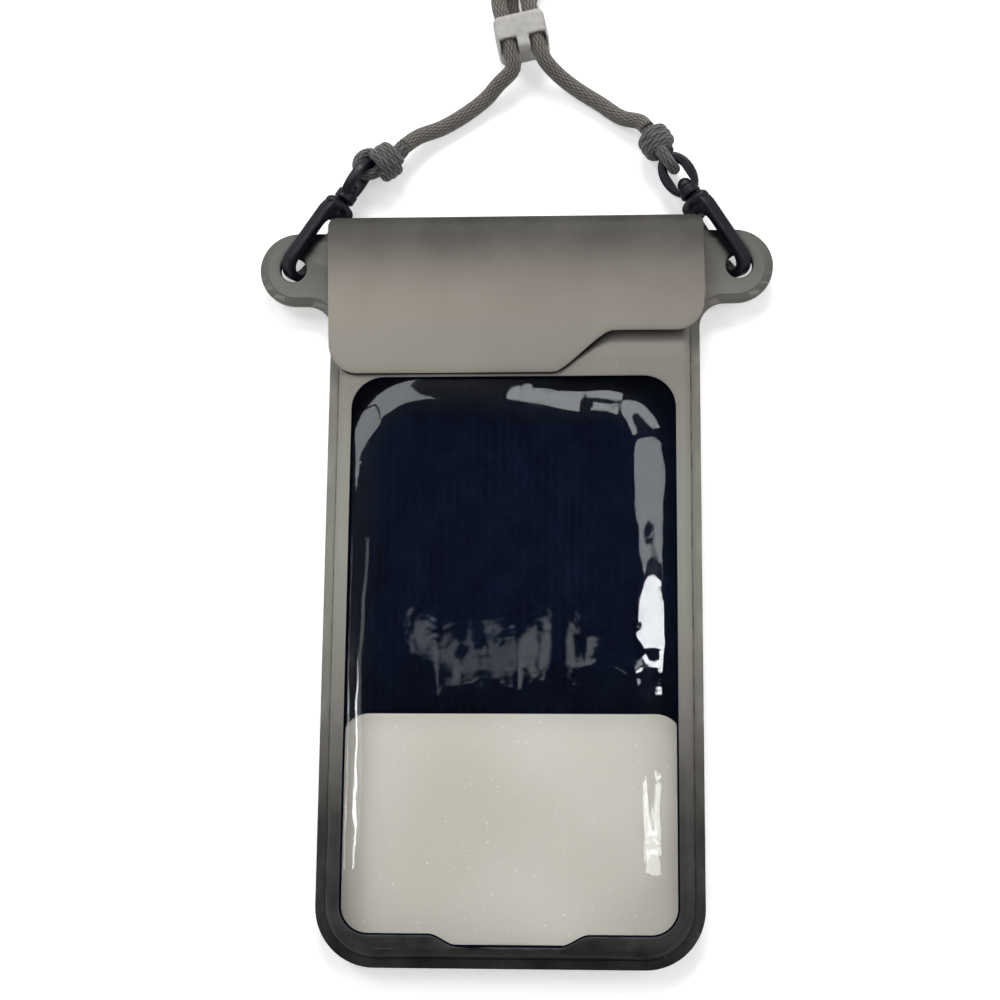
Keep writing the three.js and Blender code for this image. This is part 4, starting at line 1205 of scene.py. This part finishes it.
navy_nylon = nylon("navy_black_nylon", srgb(7, 9, 20), srgb(62, 65, 80), 0.36)
gate_nylon = nylon("navy_black_gate", srgb(8, 9, 18), srgb(60, 62, 74), 0.42)
for label in ("left", "right"):
    node = f"{label}_hook_body"
    hook = moulded_from(node, f"{label}_snap_hook", navy_nylon, "pouch", 0.22, 4, 0.26)
    node = f"{label}_hook_gate"
    gate = moulded_from(node, f"{label}_hook_tongue", gate_nylon, f"{label}_gate", 0.18, 3, 0.12)

# Swivel rings: an oval ring of the same moulded nylon, snapped on each hook's post. It turns
# freely there, and the cord is tied to its far end.
for label in ("left", "right"):
    node = f"{label}_swivel_ring"
    ring = moulded_from(node, f"{label}_oval_ring", navy_nylon, f"{label}_swivel", 0.18, 3, 0.24)

# Knots: each cord's end passes over the ring's bar as a tight loop and is wrapped three times round
# itself. The wraps are the cord itself, pulled narrower.
# Painted shade: the knot's copy of the cord cloth is darker than the cord itself.
knot_cloth = cord_material("grey_braided_cord_tight_shaded", (0.014, 0.013, 0.013), (0.135, 0.128, 0.122), 9, 3.6)
KNOT_ALONG = 46.5
WRAP_RADIUS = 3.45
WRAP_TUBE = 1.95
WRAP_TURNS = 3.1
BIGHT_TUBE = 1.8
BIGHT_REACH = 3.4
WRAP_SPREAD = 2.75
BAR_MIDDLE = 40.3
SIDE_KNOT = (43.8, 4.2)
SIDE_KNOT_TURN = math.radians(20)
RING_TURN = {"left": math.radians(86), "right": math.radians(12)}


def knot_axes(side, label):
    """The cord's own directions at a ring: along it, across the ring's plane and in that plane."""
    turn = HEADING[side]
    tilt = math.pi / 2 - RING_TURN[label]
    along = Vector((-side * math.sin(turn), math.cos(turn), 0))
    outward = Vector((side * math.cos(turn), math.sin(turn), 0))
    in_plane = outward * math.sin(tilt) + Vector((0, 0, math.cos(tilt)))
    return along, in_plane, along.cross(in_plane)


for label, side in (("left", -1), ("right", 1)):
    along, in_plane, across = knot_axes(side, label)
    hole = Vector((side * EAR_HOLE_X, EAR_CENTRE_Y, HOOK_AXIS_Z))

    def knot_place(run, high, thick):
        return hole + along * run + in_plane * high + across * thick

    def wrap_place(run, high, thick):
        """A place in the wraps: straight on behind the right ring, turned beside the left one."""
        if side > 0:
            return knot_place(KNOT_ALONG + run, high, thick)
        turned_run = run * math.cos(SIDE_KNOT_TURN) - thick * math.sin(SIDE_KNOT_TURN)
        turned_thick = run * math.sin(SIDE_KNOT_TURN) + thick * math.cos(SIDE_KNOT_TURN)
        return knot_place(SIDE_KNOT[0] + turned_run, high, SIDE_KNOT[1] + turned_thick)

    bm = bmesh.new()
    uv_layer = bm.loops.layers.uv.new("round_and_along")
    reach = BIGHT_REACH
    if side > 0:
        bight = [
            knot_place(47.0, 0.2, reach * 0.75),
            knot_place(44.0, 0.3, reach * 0.96),
            knot_place(BAR_MIDDLE, 0.2, reach),
            knot_place(37.6, 0.1, reach * 0.75),
            knot_place(36.6, 0, 0),
            knot_place(37.6, -0.1, -reach * 0.75),
            knot_place(BAR_MIDDLE, -0.2, -reach),
            knot_place(44.0, -0.3, -reach * 0.96),
            knot_place(47.0, -0.2, -reach * 0.75),
        ]
    else:
        bight = []
        for degrees in range(40, -241, -35):
            angle = math.radians(degrees)
            bight.append(knot_place(BAR_MIDDLE + reach * math.cos(angle), 0, reach * math.sin(angle)))
        bight.append(knot_place(BAR_MIDDLE + 1.6, 0, reach + 1.2))
    tube_into(bm, uv_layer, through(bight, 0.5), BIGHT_TUBE)
    wraps = []
    for k in range(int(WRAP_TURNS * 16) + 1):
        angle = 2 * math.pi * k / 16 + 0.8
        share = k / (WRAP_TURNS * 16)
        run = WRAP_SPREAD * (2 * share - 1)
        swell = WRAP_RADIUS * (0.93 + 0.12 * math.sin(math.pi * share) ** 0.7)
        wraps.append(wrap_place(run, 0.94 * swell * math.cos(angle), 1.04 * swell * math.sin(angle)))
    tube_into(bm, uv_layer, through(wraps, 0.55), WRAP_TUBE)
    if side > 0:
        core = [wrap_place(run, 0, 0) for run in (-3.6, -1.0, 1.6, 5.1)]
    else:
        core = [wrap_place(-3.0, 0, 0), wrap_place(0, 0, 0), knot_place(47.4, 0, 5.6)]
        core += [knot_place(49.2, 0, 6.0), knot_place(SIDE_CORD_START[0], 0, 6.0)]
    tube_into(bm, uv_layer, through(core, 0.6), lambda share: 2.9 - 0.5 * share)
    knot = new_piece(f"{label}_cord_knot", bm, [knot_cloth], f"{label}_swivel")
    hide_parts(f"{label}_knot")

# Cord stopper: a frosted, translucent moulded block that slides on the cords and gathers them,
# with two open channels above and two blind holes below.
frosted, tree, look = new_material("frosted_clear_plastic")
place = surface_place(tree)
cloud = noise_node(tree, place, 320.0, 3.0, 0.6)
milky = spread(tree, cloud, 0.3, 0.7)
values = {
    "Base Color": mix_colours(tree, milky, srgb(176, 173, 170), srgb(206, 203, 199)),
    "Roughness": spread(tree, cloud, 0.3, 0.7, 0.30, 0.48),
    "Transmission Weight": 0.35,
    "IOR": 1.46,
    "Subsurface Weight": 0.2,
    "Subsurface Radius": (0.002, 0.002, 0.002),
    "Normal": relief(tree, noise_node(tree, place, 1500.0, 2.0, 0.5), 0.3, 0.12),
}
set_inputs(tree, look, values)
stopper = moulded_from("cord_stopper", "cord_slider", frosted, "pouch", 0.22, 5, 0.08)

for label, side in (("left", -1), ("right", 1)):
    cord, centres = cords[label]
